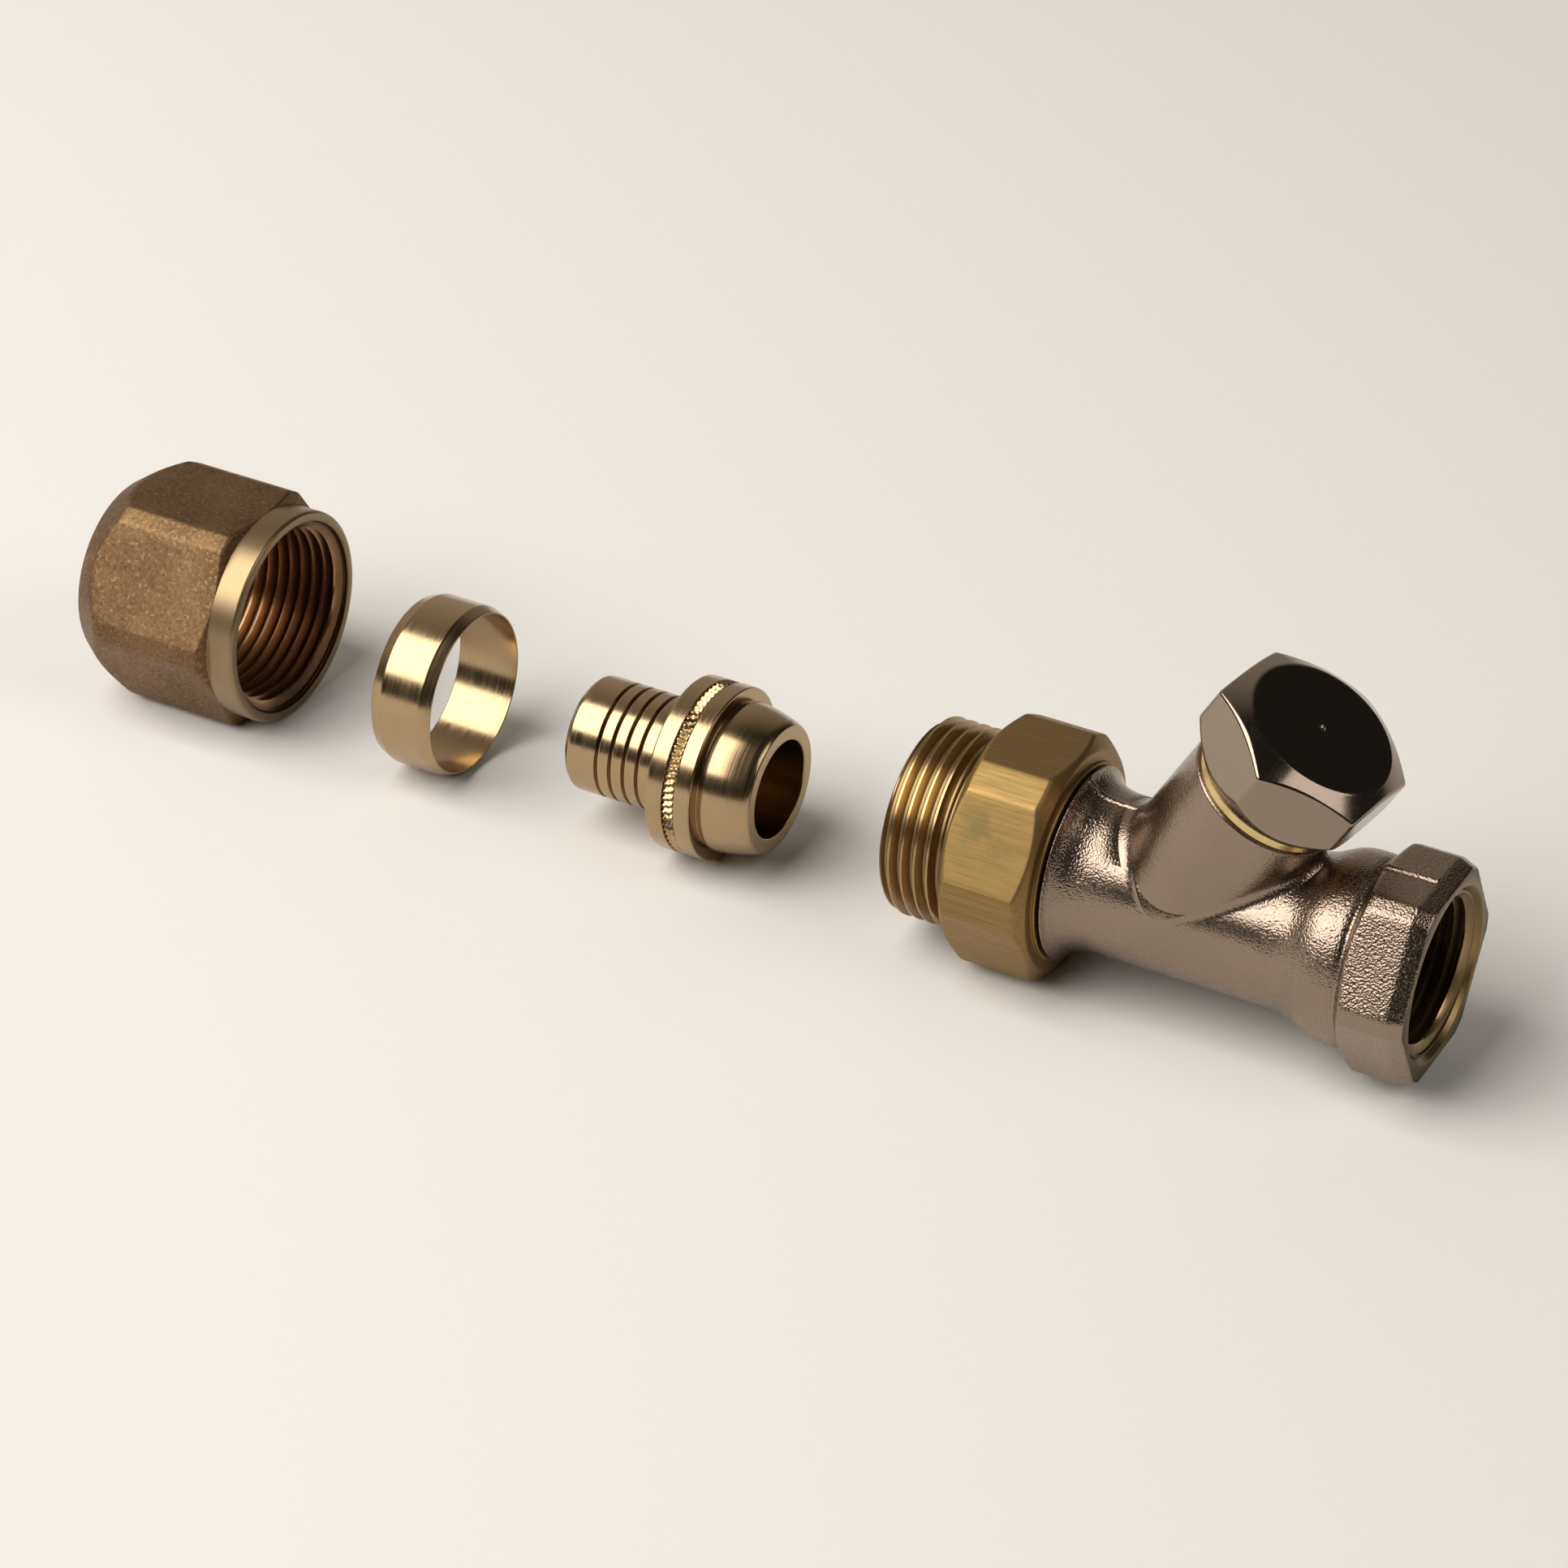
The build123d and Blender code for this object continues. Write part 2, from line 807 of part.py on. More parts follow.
# Pipe tail: barbed spigot, knurled collar and tapered nose
collar_right = tail_right - nose_len - nose_recess_len
collar_left = collar_right - tail_collar_len
knurl_left = collar_left + knurl_start
knurl_right = knurl_left + knurl_len
knurl_root_r = tail_collar_od / 2 - knurl_depth
spigot_r = spigot_od / 2
barb_profile = []
for number in range(barb_count):
    barb_left = tail_left + barb_first + number * barb_pitch
    barb_profile += [
        (barb_left, spigot_r),
        (barb_left, spigot_r - barb_depth),
        (barb_left + barb_width, spigot_r),
    ]
knurl_outline = []
for number in range(2 * knurl_teeth):
    knurl_reach = tail_collar_od / 2 if number % 2 == 0 else knurl_root_r
    knurl_bearing = pi * number / knurl_teeth
    knurl_outline.append((knurl_reach * cos(knurl_bearing), knurl_reach * sin(knurl_bearing)))
with BuildPart() as pipe_tail:
    revolve(
        turned(
            tail_frame,
            (tail_left, 0),
            (tail_left, spigot_r - spigot_edge),
            (tail_left + spigot_edge, spigot_r),
            *barb_profile,
            (collar_left, spigot_r),
            (collar_left, tail_collar_od / 2),
            (knurl_left, tail_collar_od / 2),
            (knurl_left, knurl_root_r),
            (knurl_right, knurl_root_r),
            (knurl_right, tail_collar_od / 2),
            (collar_right, tail_collar_od / 2),
            (collar_right, nose_recess_r),
            (collar_right + nose_recess_len, nose_recess_r),
            (collar_right + nose_recess_len, nose_root_r),
            (tail_right - nose_edge, nose_tip_r + nose_slope * nose_edge),
            (tail_right, nose_tip_r - nose_edge),
            (tail_right, 0),
        ),
        axis=axis_of(tail_frame),
    )
    with BuildSketch(across(tail_frame, knurl_left)):
        with BuildLine():
            Polyline(*knurl_outline, close=True)
        make_face()
    extrude(amount=knurl_len)
    revolve(
        ring(tail_frame, tail_left, tail_right, 0, tail_bore / 2),
        axis=axis_of(tail_frame),
        mode=Mode.SUBTRACT,
    )

swivel_nipple.part.label = "swivel_nipple"
valve_body.part.label = "valve_body"
nipple_o_ring.part.label = "nipple_o_ring"
nipple_retaining_ring.part.label = "nipple_retaining_ring"
bonnet_insert.part.label = "bonnet_insert"
bonnet_o_ring.part.label = "bonnet_o_ring"
shutoff_cone.part.label = "shutoff_cone"
seat_seal.part.label = "seat_seal"
cone_retaining_clip.part.label = "cone_retaining_clip"
spindle.part.label = "spindle"
spindle_o_ring_lower.part.label = "spindle_o_ring_lower"
spindle_o_ring_upper.part.label = "spindle_o_ring_upper"
cap.part.label = "cap"
cap_gasket.part.label = "cap_gasket"
coupling_nut.part.label = "coupling_nut"
olive.part.label = "olive"
pipe_tail.part.label = "pipe_tail"

os.makedirs("parts", exist_ok=True)
export_step(swivel_nipple.part, "parts/swivel_nipple.step")
export_step(valve_body.part, "parts/valve_body.step")
export_step(nipple_o_ring.part, "parts/nipple_o_ring.step")
export_step(nipple_retaining_ring.part, "parts/nipple_retaining_ring.step")
export_step(bonnet_insert.part, "parts/bonnet_insert.step")
export_step(bonnet_o_ring.part, "parts/bonnet_o_ring.step")
export_step(shutoff_cone.part, "parts/shutoff_cone.step")
export_step(seat_seal.part, "parts/seat_seal.step")
export_step(cone_retaining_clip.part, "parts/cone_retaining_clip.step")
export_step(spindle.part, "parts/spindle.step")
export_step(spindle_o_ring_lower.part, "parts/spindle_o_ring_lower.step")
export_step(spindle_o_ring_upper.part, "parts/spindle_o_ring_upper.step")
export_step(cap.part, "parts/cap.step")
export_step(cap_gasket.part, "parts/cap_gasket.step")
export_step(coupling_nut.part, "parts/coupling_nut.step")
export_step(olive.part, "parts/olive.step")
export_step(pipe_tail.part, "parts/pipe_tail.step")
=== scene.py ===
"""Dresses a return valve and its compression coupling, laid out in a row, for a render."""

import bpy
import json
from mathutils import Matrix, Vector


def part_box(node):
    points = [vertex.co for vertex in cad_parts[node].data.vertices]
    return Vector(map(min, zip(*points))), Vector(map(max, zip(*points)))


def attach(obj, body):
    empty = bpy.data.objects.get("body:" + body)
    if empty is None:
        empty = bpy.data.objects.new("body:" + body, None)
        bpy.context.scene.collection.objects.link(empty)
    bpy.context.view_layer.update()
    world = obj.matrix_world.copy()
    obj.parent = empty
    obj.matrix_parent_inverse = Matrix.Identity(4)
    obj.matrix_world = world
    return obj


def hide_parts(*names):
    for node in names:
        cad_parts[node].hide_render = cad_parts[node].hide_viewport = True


bl_info = {
    "name": "Return Valve Row",
    "version": (1, 0, 0),
    "blender": (4, 5, 0),
    "location": "3D View > Sidebar > Return Valve",
    "description": "Makes the visual pieces, finishes and stage of a return valve and its coupling",
    "category": "Object",
}

import json
from math import atan2, comb, cos, hypot, pi, radians, sin, sqrt, tan

import bmesh
import bpy
from bpy.props import FloatProperty, FloatVectorProperty, IntProperty, PointerProperty
from mathutils import Matrix, Vector

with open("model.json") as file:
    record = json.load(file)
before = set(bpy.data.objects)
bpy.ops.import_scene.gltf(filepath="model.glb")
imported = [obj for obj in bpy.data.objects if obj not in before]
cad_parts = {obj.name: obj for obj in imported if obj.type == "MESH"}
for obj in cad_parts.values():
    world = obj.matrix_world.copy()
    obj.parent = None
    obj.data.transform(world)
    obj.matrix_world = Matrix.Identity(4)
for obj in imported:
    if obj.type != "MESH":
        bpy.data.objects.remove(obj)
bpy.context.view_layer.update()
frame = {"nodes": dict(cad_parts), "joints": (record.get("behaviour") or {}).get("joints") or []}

MM = 0.001
SIDE = Vector((0, 1, 0))
ROW = Vector((1, 0, 0))
LEAN = radians(60)
DOUBLES = 2e-7

# Finish numbers on a piece: outside, bores, and an end face
SKIN, BORE, FACE = 0, 1, 2


# Places read from the frame


def lying(node):
    """Axis of a piece that lies along the row: its left end, and the way it points."""
    low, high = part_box(node)
    return Vector((low.x, 0, (low.z + high.z) / 2)), ROW


joints = {joint["name"]: joint for joint in frame["joints"]}
NIPPLE = lying("swivel_nipple")
NUT = lying("coupling_nut")
OLIVE = lying("olive")
TAIL = lying("pipe_tail")
BODY = (Vector((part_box("valve_body")[0].x, 0, NIPPLE[0].z)), ROW)
BONNET = (Vector(joints["spindle_turn"]["pos_m"]), Vector(joints["cap_lift"]["axis"]).normalized())


def linear(code):
    """Linear colour of an sRGB hex value."""
    shares = [int(code[i : i + 2], 16) / 255 for i in (0, 2, 4)]
    return tuple(s / 12.92 if s <= 0.04045 else ((s + 0.055) / 1.055) ** 2.4 for s in shares)


def colour(name, description, code):
    """Colour property with a default given as an sRGB hex value."""
    return FloatVectorProperty(
        name=name, description=description, default=linear(code), min=0, max=1, subtype="COLOR"
    )


def distance(name, description, size):
    """Length property with a default given in millimetres."""
    return FloatProperty(
        name=name, description=description, default=size * MM, min=0, subtype="DISTANCE", unit="LENGTH"
    )


class ThreadSizes(bpy.types.PropertyGroup):
    """Sizes of the screw threads."""

    pipe_pitch: distance("Pipe thread pitch", "Pitch of the union and outlet threads", 1.814)
    pipe_depth: distance("Pipe thread depth", "Height of the union and outlet threads", 1.1)
    fine_pitch: distance("Cap thread pitch", "Pitch of the cap's thread", 1.0)
    fine_depth: distance("Cap thread depth", "Height of the cap's thread", 0.55)
    around: IntProperty(name="Sides", description="Faces around each thread", default=112, min=24)


class TrimSizes(bpy.types.PropertyGroup):
    """Sizes of the knurl and of the forging's parting line."""

    knurl_teeth: IntProperty(
        name="Knurl teeth", description="Teeth around the tail's collar", default=72, min=12
    )
    knurl_slant: FloatProperty(
        name="Knurl slant", description="Share of a tooth that the knurl leans over its width",
        default=0.5, min=0, max=1, subtype="FACTOR",
    )
    line_width: distance("Parting line width", "Width of the forging's parting line", 1.2)
    line_height: distance("Parting line height", "Height of the forging's parting line", 0.38)


class FinishColours(bpy.types.PropertyGroup):
    """Base colours of the finishes."""

    forged_brass: colour("Forged brass", "Dull skin of the forged nut", "84694A")
    forged_dark: colour("Forged brass, dark", "Dark specks of the forged skin", "634B34")
    bright_brass: colour("Turned brass", "Bright turned brass of the olive and tail", "AE9672")
    drawn_brass: colour("Drawn brass", "Drawn bar of the swivel nipple", "9A7E4F")
    stain: colour("Stain", "Greenish stain on the drawn bar", "6C6A45")
    thread_brass: colour("Thread brass", "Cut threads and bores", "A88E64")
    nut_bore: colour("Nut's bore", "Coppery cut surface inside the nut", "AC8664")
    pale_brass: colour("Pale brass", "Turned brass of the bonnet's parts", "DCC48C")
    nickel: colour("Blasted nickel", "Sandblasted nickel plate of the body", "958475")
    mirror_nickel: colour("Polished nickel", "Polished nickel plate of the cap", "958678")
    rubber: colour("Rubber", "Seals and rings", "1A1A1A")
    spring: colour("Spring wire", "Retaining rings", "B9BABC")
    floor: colour("Floor", "Plain floor", "E9E7E3")
    walls: colour("Pale wall", "Wall behind the stage on the left", "C2B9AE")
    dark_room: colour("Dark room", "Unlit rest of the room", "302F2D")


class StageSettings(bpy.types.PropertyGroup):
    """Strengths of the studio light."""

    softbox: FloatProperty(name="Softbox", description="Radiance of the left box", default=4.7, min=0)
    fill: FloatProperty(name="Fill", description="Radiance of the right box", default=1.8, min=0)
    sky: FloatProperty(name="Room", description="Radiance of the room", default=0.9, min=0)


# Node trees


VECTOR = "ShaderNodeVectorMath"
NOISE = "ShaderNodeTexNoise"
RANGE = "ShaderNodeMapRange"
MIX = "ShaderNodeMix"
MAPPING = "ShaderNodeMapping"
NUMBER = "NodeSocketFloat"
COUNT = "NodeSocketInt"


def add(tree, kind, inputs=(), **settings):
    """Adds a node with its settings, and gives each input a value or a link from a socket or a node.

    The kind is a node's type, or the operation of a Math node.
    """
    if kind.isupper():
        kind, settings["operation"] = "ShaderNodeMath", kind
    made = tree.nodes.new(kind)
    for name, value in settings.items():
        setattr(made, name, value)
    for name, value in inputs.items() if isinstance(inputs, dict) else enumerate(inputs):
        if isinstance(value, bpy.types.Node):
            value = value.outputs[0]
        if isinstance(value, bpy.types.NodeSocket):
            tree.links.new(value, made.inputs[name])
        else:
            made.inputs[name].default_value = value
    return made


def geometry_tree(name, **sockets):
    """Geometry node tree with named inputs, and the sockets that they come from."""
    tree = bpy.data.node_groups.new(name, "GeometryNodeTree")
    for label, kind in sockets.items():
        tree.interface.new_socket(name=label.replace("_", " "), in_out="INPUT", socket_type=kind)
    tree.interface.new_socket(name="Geometry", in_out="OUTPUT", socket_type="NodeSocketGeometry")
    return tree, add(tree, "NodeGroupInput").outputs


def unrolled(tree, columns, rows):
    """Grid to roll up, each point's share of a turn, and its row; rows to spare close the back."""
    across = add(tree, "ADD", [columns, 1])
    down = add(tree, "ADD", [rows, 4])
    grid = add(tree, "GeometryNodeMeshGrid", [1.0, 1.0, across, down])
    spot = add(tree, "ShaderNodeSeparateXYZ", [add(tree, "GeometryNodeInputPosition")])
    turn = add(tree, "ADD", [spot, 0.5])
    share = add(tree, "ADD", [spot.outputs[1], 0.5])
    last = add(tree, "ADD", [rows, 3])
    row = add(tree, "ROUND", [add(tree, "MULTIPLY", [share, last])])
    return grid, turn, row


def rolled(tree, inputs, grid, turn, row, rows, place, radius):
    """Rolls the grid around X into a sleeve, closes its back, and ends the tree."""
    past_front = add(tree, "GREATER_THAN", [row, add(tree, "ADD", [rows, 0.5])])
    before_end = add(tree, "LESS_THAN", [row, add(tree, "ADD", [rows, 2.5])])
    at_back = add(tree, "MULTIPLY", [past_front, before_end])
    drop = add(tree, "SUBTRACT", [inputs["Back radius"], radius])
    reach = add(tree, "MULTIPLY_ADD", [at_back, drop, radius])
    angle = add(tree, "MULTIPLY", [turn, 2 * pi])
    aside = add(tree, "MULTIPLY", [reach, add(tree, "COSINE", [angle])])
    upward = add(tree, "MULTIPLY", [reach, add(tree, "SINE", [angle])])
    spot = add(tree, "ShaderNodeCombineXYZ", [place, aside, upward])
    shaped = add(tree, "GeometryNodeSetPosition", {"Geometry": grid, "Position": spot})
    merged = {"Geometry": shaped, "Distance": DOUBLES}
    ended(tree, inputs, add(tree, "GeometryNodeMergeByDistance", merged))


def ended(tree, inputs, geometry):
    """Ends a tree with its instances made real and its material set."""
    real = add(tree, "GeometryNodeRealizeInstances", [geometry])
    coated = add(tree, "GeometryNodeSetMaterial", {"Geometry": real, "Material": inputs["Material"]})
    add(tree, "NodeGroupOutput", [coated])


def thread_tree():
    """Right-handed screw thread along X, whose rows follow the helix to keep its crests crisp."""
    spare_turns, steepness, root_share = 2, 3, 0.25
    tree, inputs = geometry_tree(
        "Screw thread", Length=NUMBER, Pitch=NUMBER, Root_radius=NUMBER, Crest_radius=NUMBER,
        Back_radius=NUMBER, Lead_in=NUMBER, Phase=NUMBER, Sides=COUNT, Steps=COUNT,
        Material="NodeSocketMaterial",
    )
    turns = add(tree, "DIVIDE", [inputs["Length"], inputs["Pitch"]])
    turns = add(tree, "ADD", [turns, spare_turns])
    rows = add(tree, "CEIL", [add(tree, "MULTIPLY", [turns, inputs["Steps"]])])
    grid, turn, row = unrolled(tree, inputs["Sides"], rows)

    # Rows run along the helix, and those past an end gather on it
    helix_row = add(tree, "MINIMUM", [row, rows])
    pitches = add(tree, "DIVIDE", [helix_row, inputs["Steps"]])
    pitches = add(tree, "ADD", [pitches, turn])
    shift = add(tree, "SUBTRACT", [inputs["Phase"], spare_turns])
    pitches = add(tree, "ADD", [pitches, shift])
    place = add(tree, "MULTIPLY", [pitches, inputs["Pitch"]])
    place = add(tree, "MINIMUM", [place, inputs["Length"]])
    place = add(tree, "MAXIMUM", [place, 0])
    forth = add(tree, "LESS_THAN", [row, add(tree, "ADD", [rows, 1.5])])
    place = add(tree, "MULTIPLY", [place, forth])

    # Height of the thread: flanks between a flat root and a flat crest, run out at both ends
    wave = add(tree, "DIVIDE", [place, inputs["Pitch"]])
    wave = add(tree, "SUBTRACT", [wave, turn])
    wave = add(tree, "SUBTRACT", [wave, inputs["Phase"]])
    flank = add(tree, "PINGPONG", [wave, 0.5])
    rise = add(tree, "MULTIPLY_ADD", [flank, steepness, -root_share], use_clamp=True)
    far_end = add(tree, "SUBTRACT", [inputs["Length"], place])
    near_end = add(tree, "MINIMUM", [place, far_end])
    fade = add(tree, "DIVIDE", [near_end, inputs["Lead in"]], use_clamp=True)
    height = add(tree, "MINIMUM", [rise, fade])
    tall = add(tree, "SUBTRACT", [inputs["Crest radius"], inputs["Root radius"]])
    radius = add(tree, "MULTIPLY_ADD", [height, tall, inputs["Root radius"]])
    rolled(tree, inputs, grid, turn, row, rows, place, radius)
    return tree


def knurl_tree():
    """Band of slanted knurl teeth around X."""
    faces_a_tooth, end_slope = 6, 16
    tree, inputs = geometry_tree(
        "Knurled band", Length=NUMBER, Root_radius=NUMBER, Crest_radius=NUMBER, Back_radius=NUMBER,
        Slant=NUMBER, Teeth=COUNT, Rows=COUNT, Material="NodeSocketMaterial",
    )
    columns = add(tree, "MULTIPLY", [inputs["Teeth"], faces_a_tooth])
    grid, turn, row = unrolled(tree, columns, inputs["Rows"])
    share = add(tree, "DIVIDE", [row, inputs["Rows"]], use_clamp=True)
    forth = add(tree, "LESS_THAN", [row, add(tree, "ADD", [inputs["Rows"], 1.5])])
    share = add(tree, "MULTIPLY", [share, forth])
    place = add(tree, "MULTIPLY", [share, inputs["Length"]])
    lean = add(tree, "MULTIPLY", [share, inputs["Slant"]])
    wave = add(tree, "MULTIPLY_ADD", [turn, inputs["Teeth"], lean])
    tooth = add(tree, "PINGPONG", [wave, 0.5])
    aside = add(tree, "ABSOLUTE", [add(tree, "SUBTRACT", [share, 0.5])])
    ends = add(tree, "MULTIPLY_ADD", [aside, -end_slope, end_slope / 2], use_clamp=True)
    tall = add(tree, "SUBTRACT", [inputs["Crest radius"], inputs["Root radius"]])
    height = add(tree, "MULTIPLY", [add(tree, "MULTIPLY", [tooth, ends]), 2])
    radius = add(tree, "MULTIPLY_ADD", [height, tall, inputs["Root radius"]])
    rolled(tree, inputs, grid, turn, row, inputs["Rows"], place, radius)
    return tree


def line_tree():
    """Low rounded ridge along a run of edges, uneven as a forging's trimmed parting line."""
    tree, inputs = geometry_tree(
        "Parting line", Geometry="NodeSocketGeometry", Width=NUMBER, Height=NUMBER, Seed=COUNT,
        Material="NodeSocketMaterial",
    )
    path = add(tree, "GeometryNodeMeshToCurve", [inputs["Geometry"]])
    even = add(tree, "GeometryNodeResampleCurve", {"Curve": path, "Count": 90})
    swells = {"W": inputs["Seed"], "Scale": 700.0, "Detail": 2.0}
    uneven = add(tree, NOISE, swells, noise_dimensions="4D")
    size = add(tree, RANGE, [uneven, 0.3, 0.7, 0.7, 1.2])
    sized = add(tree, "GeometryNodeSetCurveRadius", {"Curve": even, "Radius": size})
    facing = {"Curve": sized, "Normal": (0, 1, 0)}
    level = add(tree, "GeometryNodeSetCurveNormal", facing, mode="FREE")
    bar = add(tree, "GeometryNodeCurvePrimitiveCircle", {"Resolution": 12, "Radius": 0.5})
    scale = add(tree, "ShaderNodeCombineXYZ", [inputs["Width"], inputs["Height"], 1.0])
    flat = add(tree, "GeometryNodeTransform", {"Geometry": bar, "Scale": scale})
    ridge = {"Curve": level, "Profile Curve": flat, "Fill Caps": True}
    ended(tree, inputs, add(tree, "GeometryNodeCurveToMesh", ridge))
    return tree


def grown(name, tree, settings, start=None):
    """Plain mesh object from a tree, with the modifier's inputs set by their identifiers."""
    seed = bpy.data.objects.new(name + "_seed", start or bpy.data.meshes.new(name + "_seed"))
    bpy.context.scene.collection.objects.link(seed)
    modifier = seed.modifiers.new("Shape", "NODES")
    modifier.node_group = tree
    for item in tree.interface.items_tree:
        if item.item_type == "SOCKET" and item.in_out == "INPUT" and item.name in settings:
            modifier[item.identifier] = settings[item.name]
    bpy.context.view_layer.update()
    graph = bpy.context.evaluated_depsgraph_get()
    mesh = bpy.data.meshes.new_from_object(seed.evaluated_get(graph))
    bpy.data.objects.remove(seed)
    return mesh


# Mesh shapes


def bezier(spots, u):
    """Point at a share of the way along a Bezier curve through pairs."""
    last = len(spots) - 1
    weights = [comb(last, k) * (1 - u) ** (last - k) * u**k for k in range(last + 1)]
    return tuple(sum(w * spot[k] for w, spot in zip(weights, spots)) for k in (0, 1))


def curve_between(*spots, count):
    """Corners of a section along a Bezier curve, without its start and end."""
    return [(*bezier(spots, j / count), 0, SKIN) for j in range(1, count)]


def part(skin, *corners):
    """Corners of a section that share the finish after them."""
    return [(*corner, skin) for corner in corners]


def rounded(corners, steps=3):
    """Closed section with its corners rounded: each has its place, radius, rounding and finish.

    Two guards beside each rounding keep the shading of the faces next to it flat.
    """
    most, guard_gap, guard_most = 0.42, 1.4, 0.48
    points = []
    for i, (place, radius, ease, skin) in enumerate(corners):
        if not ease:
            points.append((place, radius, skin))
            continue
        before, after = corners[i - 1], corners[(i + 1) % len(corners)]
        ends, guards = [], []
        for other in (before, after):
            aside, upward = other[0] - place, other[1] - radius
            gap = hypot(aside, upward)
            share = min(ease, most * gap) / gap if gap > 1e-9 else 0
            ends.append((place + share * aside, radius + share * upward))
            share = min(share * guard_gap, guard_most)
            guards.append((place + share * aside, radius + share * upward))
        points.append((*guards[0], before[3]))
        for j in range(steps + 1):
            spot = bezier((ends[0], (place, radius), ends[1]), j / steps)
            points.append((*spot, before[3] if j < steps / 2 else skin))
        points.append((*guards[1], skin))
    return points


def round_outline(count=144):
    """Bearings around a round piece."""
    return [(2 * pi * i / count, 0) for i in range(count)]


def corner_reach(across_flats, bevel):
    """Farthest reach of a hexagon with bevelled corners."""
    return hypot(across_flats / 2, across_flats / 2 * tan(radians(30)) - bevel)


def hexagon_outline(across_flats, bevel, ease, turn=0, steps=12):
    """Bearings and reaches around a hexagon with bevelled and eased corners."""
    far = across_flats / sqrt(3)
    bearings = [radians(60 * i + turn) for i in range(6)]
    tips = [Vector((far * cos(bearing), far * sin(bearing))) for bearing in bearings]
    if bevel:
        cut = []
        for i, tip in enumerate(tips):
            for other in (tips[i - 1], tips[(i + 1) % 6]):
                cut.append(tip + (other - tip).normalized() * bevel)
        tips = cut
    corner_steps, short_steps = 4, 4
    spots = []
    for i, tip in enumerate(tips):
        before, after = tips[i - 1], tips[(i + 1) % len(tips)]
        start = tip + (before - tip).normalized() * ease
        end = tip + (after - tip).normalized() * ease
        for j in range(corner_steps + 1):
            spots.append(Vector(bezier((start, tip, end), j / corner_steps)))
        onward = after + (tip - after).normalized() * ease
        pieces = steps if (onward - end).length > across_flats / 4 else short_steps
        spots += [end.lerp(onward, j / pieces) for j in range(1, pieces)]
    return [(atan2(spot.y, spot.x), spot.length) for spot in spots]


def new_piece(name, mesh, skins=(), crisp=38):
    """Object for a finished mesh, with its materials, smooth but for edges past an angle."""
    for skin in skins:
        mesh.materials.append(skin)
    mesh.shade_smooth()
    mesh.set_sharp_from_angle(angle=radians(crisp))
    piece = bpy.data.objects.new(name, mesh)
    bpy.context.scene.collection.objects.link(piece)
    return piece


def closed(shape, mesh):
    """Merges doubles, drops what has no area and turns the faces outward."""
    bmesh.ops.remove_doubles(shape, verts=shape.verts, dist=DOUBLES)
    bmesh.ops.dissolve_degenerate(shape, dist=1e-8, edges=shape.edges)
    bmesh.ops.delete(shape, geom=[edge for edge in shape.edges if edge.is_wire], context="EDGES")
    bmesh.ops.recalc_face_normals(shape, faces=shape.faces)
    shape.to_mesh(mesh)
    shape.free()
    return mesh


def facing_out(mesh):
    """Mesh with its doubles merged and its faces turned outward."""
    shape = bmesh.new()
    shape.from_mesh(mesh)
    return closed(shape, mesh)


def swept(rings):
    """Mesh of a closed band through rings of points, each point with the finish that follows it."""
    shape = bmesh.new()
    corners = [[shape.verts.new(spot) for spot, skin in ring] for ring in rings]
    count = len(rings[0])
    for i in range(len(rings)):
        here, there = corners[i], corners[(i + 1) % len(rings)]
        for k in range(count):
            n = (k + 1) % count
            face = shape.faces.new((here[k], there[k], there[n], here[n]))
            face.material_index = rings[i][k][1]
    return closed(shape, bpy.data.meshes.new("band"))


def outward(axis, bearing):
    """Way out from an axis at a bearing, which counts from the far side."""
    return SIDE * cos(bearing) + axis[1].cross(SIDE) * sin(bearing)


def ring(axis, bearing, corners):
    """Points of a section that stands at a bearing around an axis, with their finishes."""
    origin, along = axis
    way = outward(axis, bearing)
    return [(origin + (along * a + way * r) * MM, skin) for a, r, skin in rounded(corners)]


def turned(name, axis, outline, section, skins):
    """Turned piece: a section that may change with the outline's reach, taken around an axis."""
    rings = [ring(axis, bearing, section(reach)) for bearing, reach in outline]
    return new_piece(name, swept(rings), skins)


def placed(mesh, axis, start):
    """Moves a mesh made along X onto an axis, at a place in millimetres along it."""
    origin, along = axis
    turn = Matrix((along, SIDE, along.cross(SIDE))).transposed().to_4x4()
    mesh.transform(Matrix.Translation(origin + along * start * MM) @ turn)
    return mesh


def thread(name, axis, start, length, root, crest, back, pitch, lead, phase, skin):
    """Screw thread sleeve on an axis, sizes in millimetres."""
    tree = bpy.data.node_groups.get("Screw thread") or thread_tree()
    settings = {
        "Length": length * MM, "Pitch": pitch * MM, "Root radius": root * MM,
        "Crest radius": crest * MM, "Back radius": back * MM, "Lead in": lead * MM,
        "Phase": phase % 1, "Sides": bpy.context.scene.valve_threads.around, "Steps": 12,
        "Material": skin,
    }
    return new_piece(name, facing_out(placed(grown(name, tree, settings), axis, start)), crisp=28)


def dress(piece, body, slot, *nodes):
    """Parents a piece to the empty of the body it rides on, and hides the nodes that it replaces.

    The slot argument is not used.
    """
    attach(piece, body)
    if nodes:
        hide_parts(*nodes)
    return piece


# Finishes


def blank(name, **settings):
    """Material with its shader, whose plain inputs are set, and the object coordinates in metres."""
    coat = bpy.data.materials.new(name)
    coat.use_nodes = True
    tree = coat.node_tree
    tree.nodes.clear()
    values = {key.replace("_", " "): value for key, value in settings.items()}
    shader = add(tree, "ShaderNodeBsdfPrincipled", values)
    add(tree, "ShaderNodeOutputMaterial", [shader])
    return coat, tree, shader, add(tree, "ShaderNodeTexCoord").outputs["Object"]


def rgba(shade, factor=1.0):
    """Colour with full opacity, lightened or darkened by a factor."""
    return (*[min(1.0, part * factor) for part in shade], 1.0)


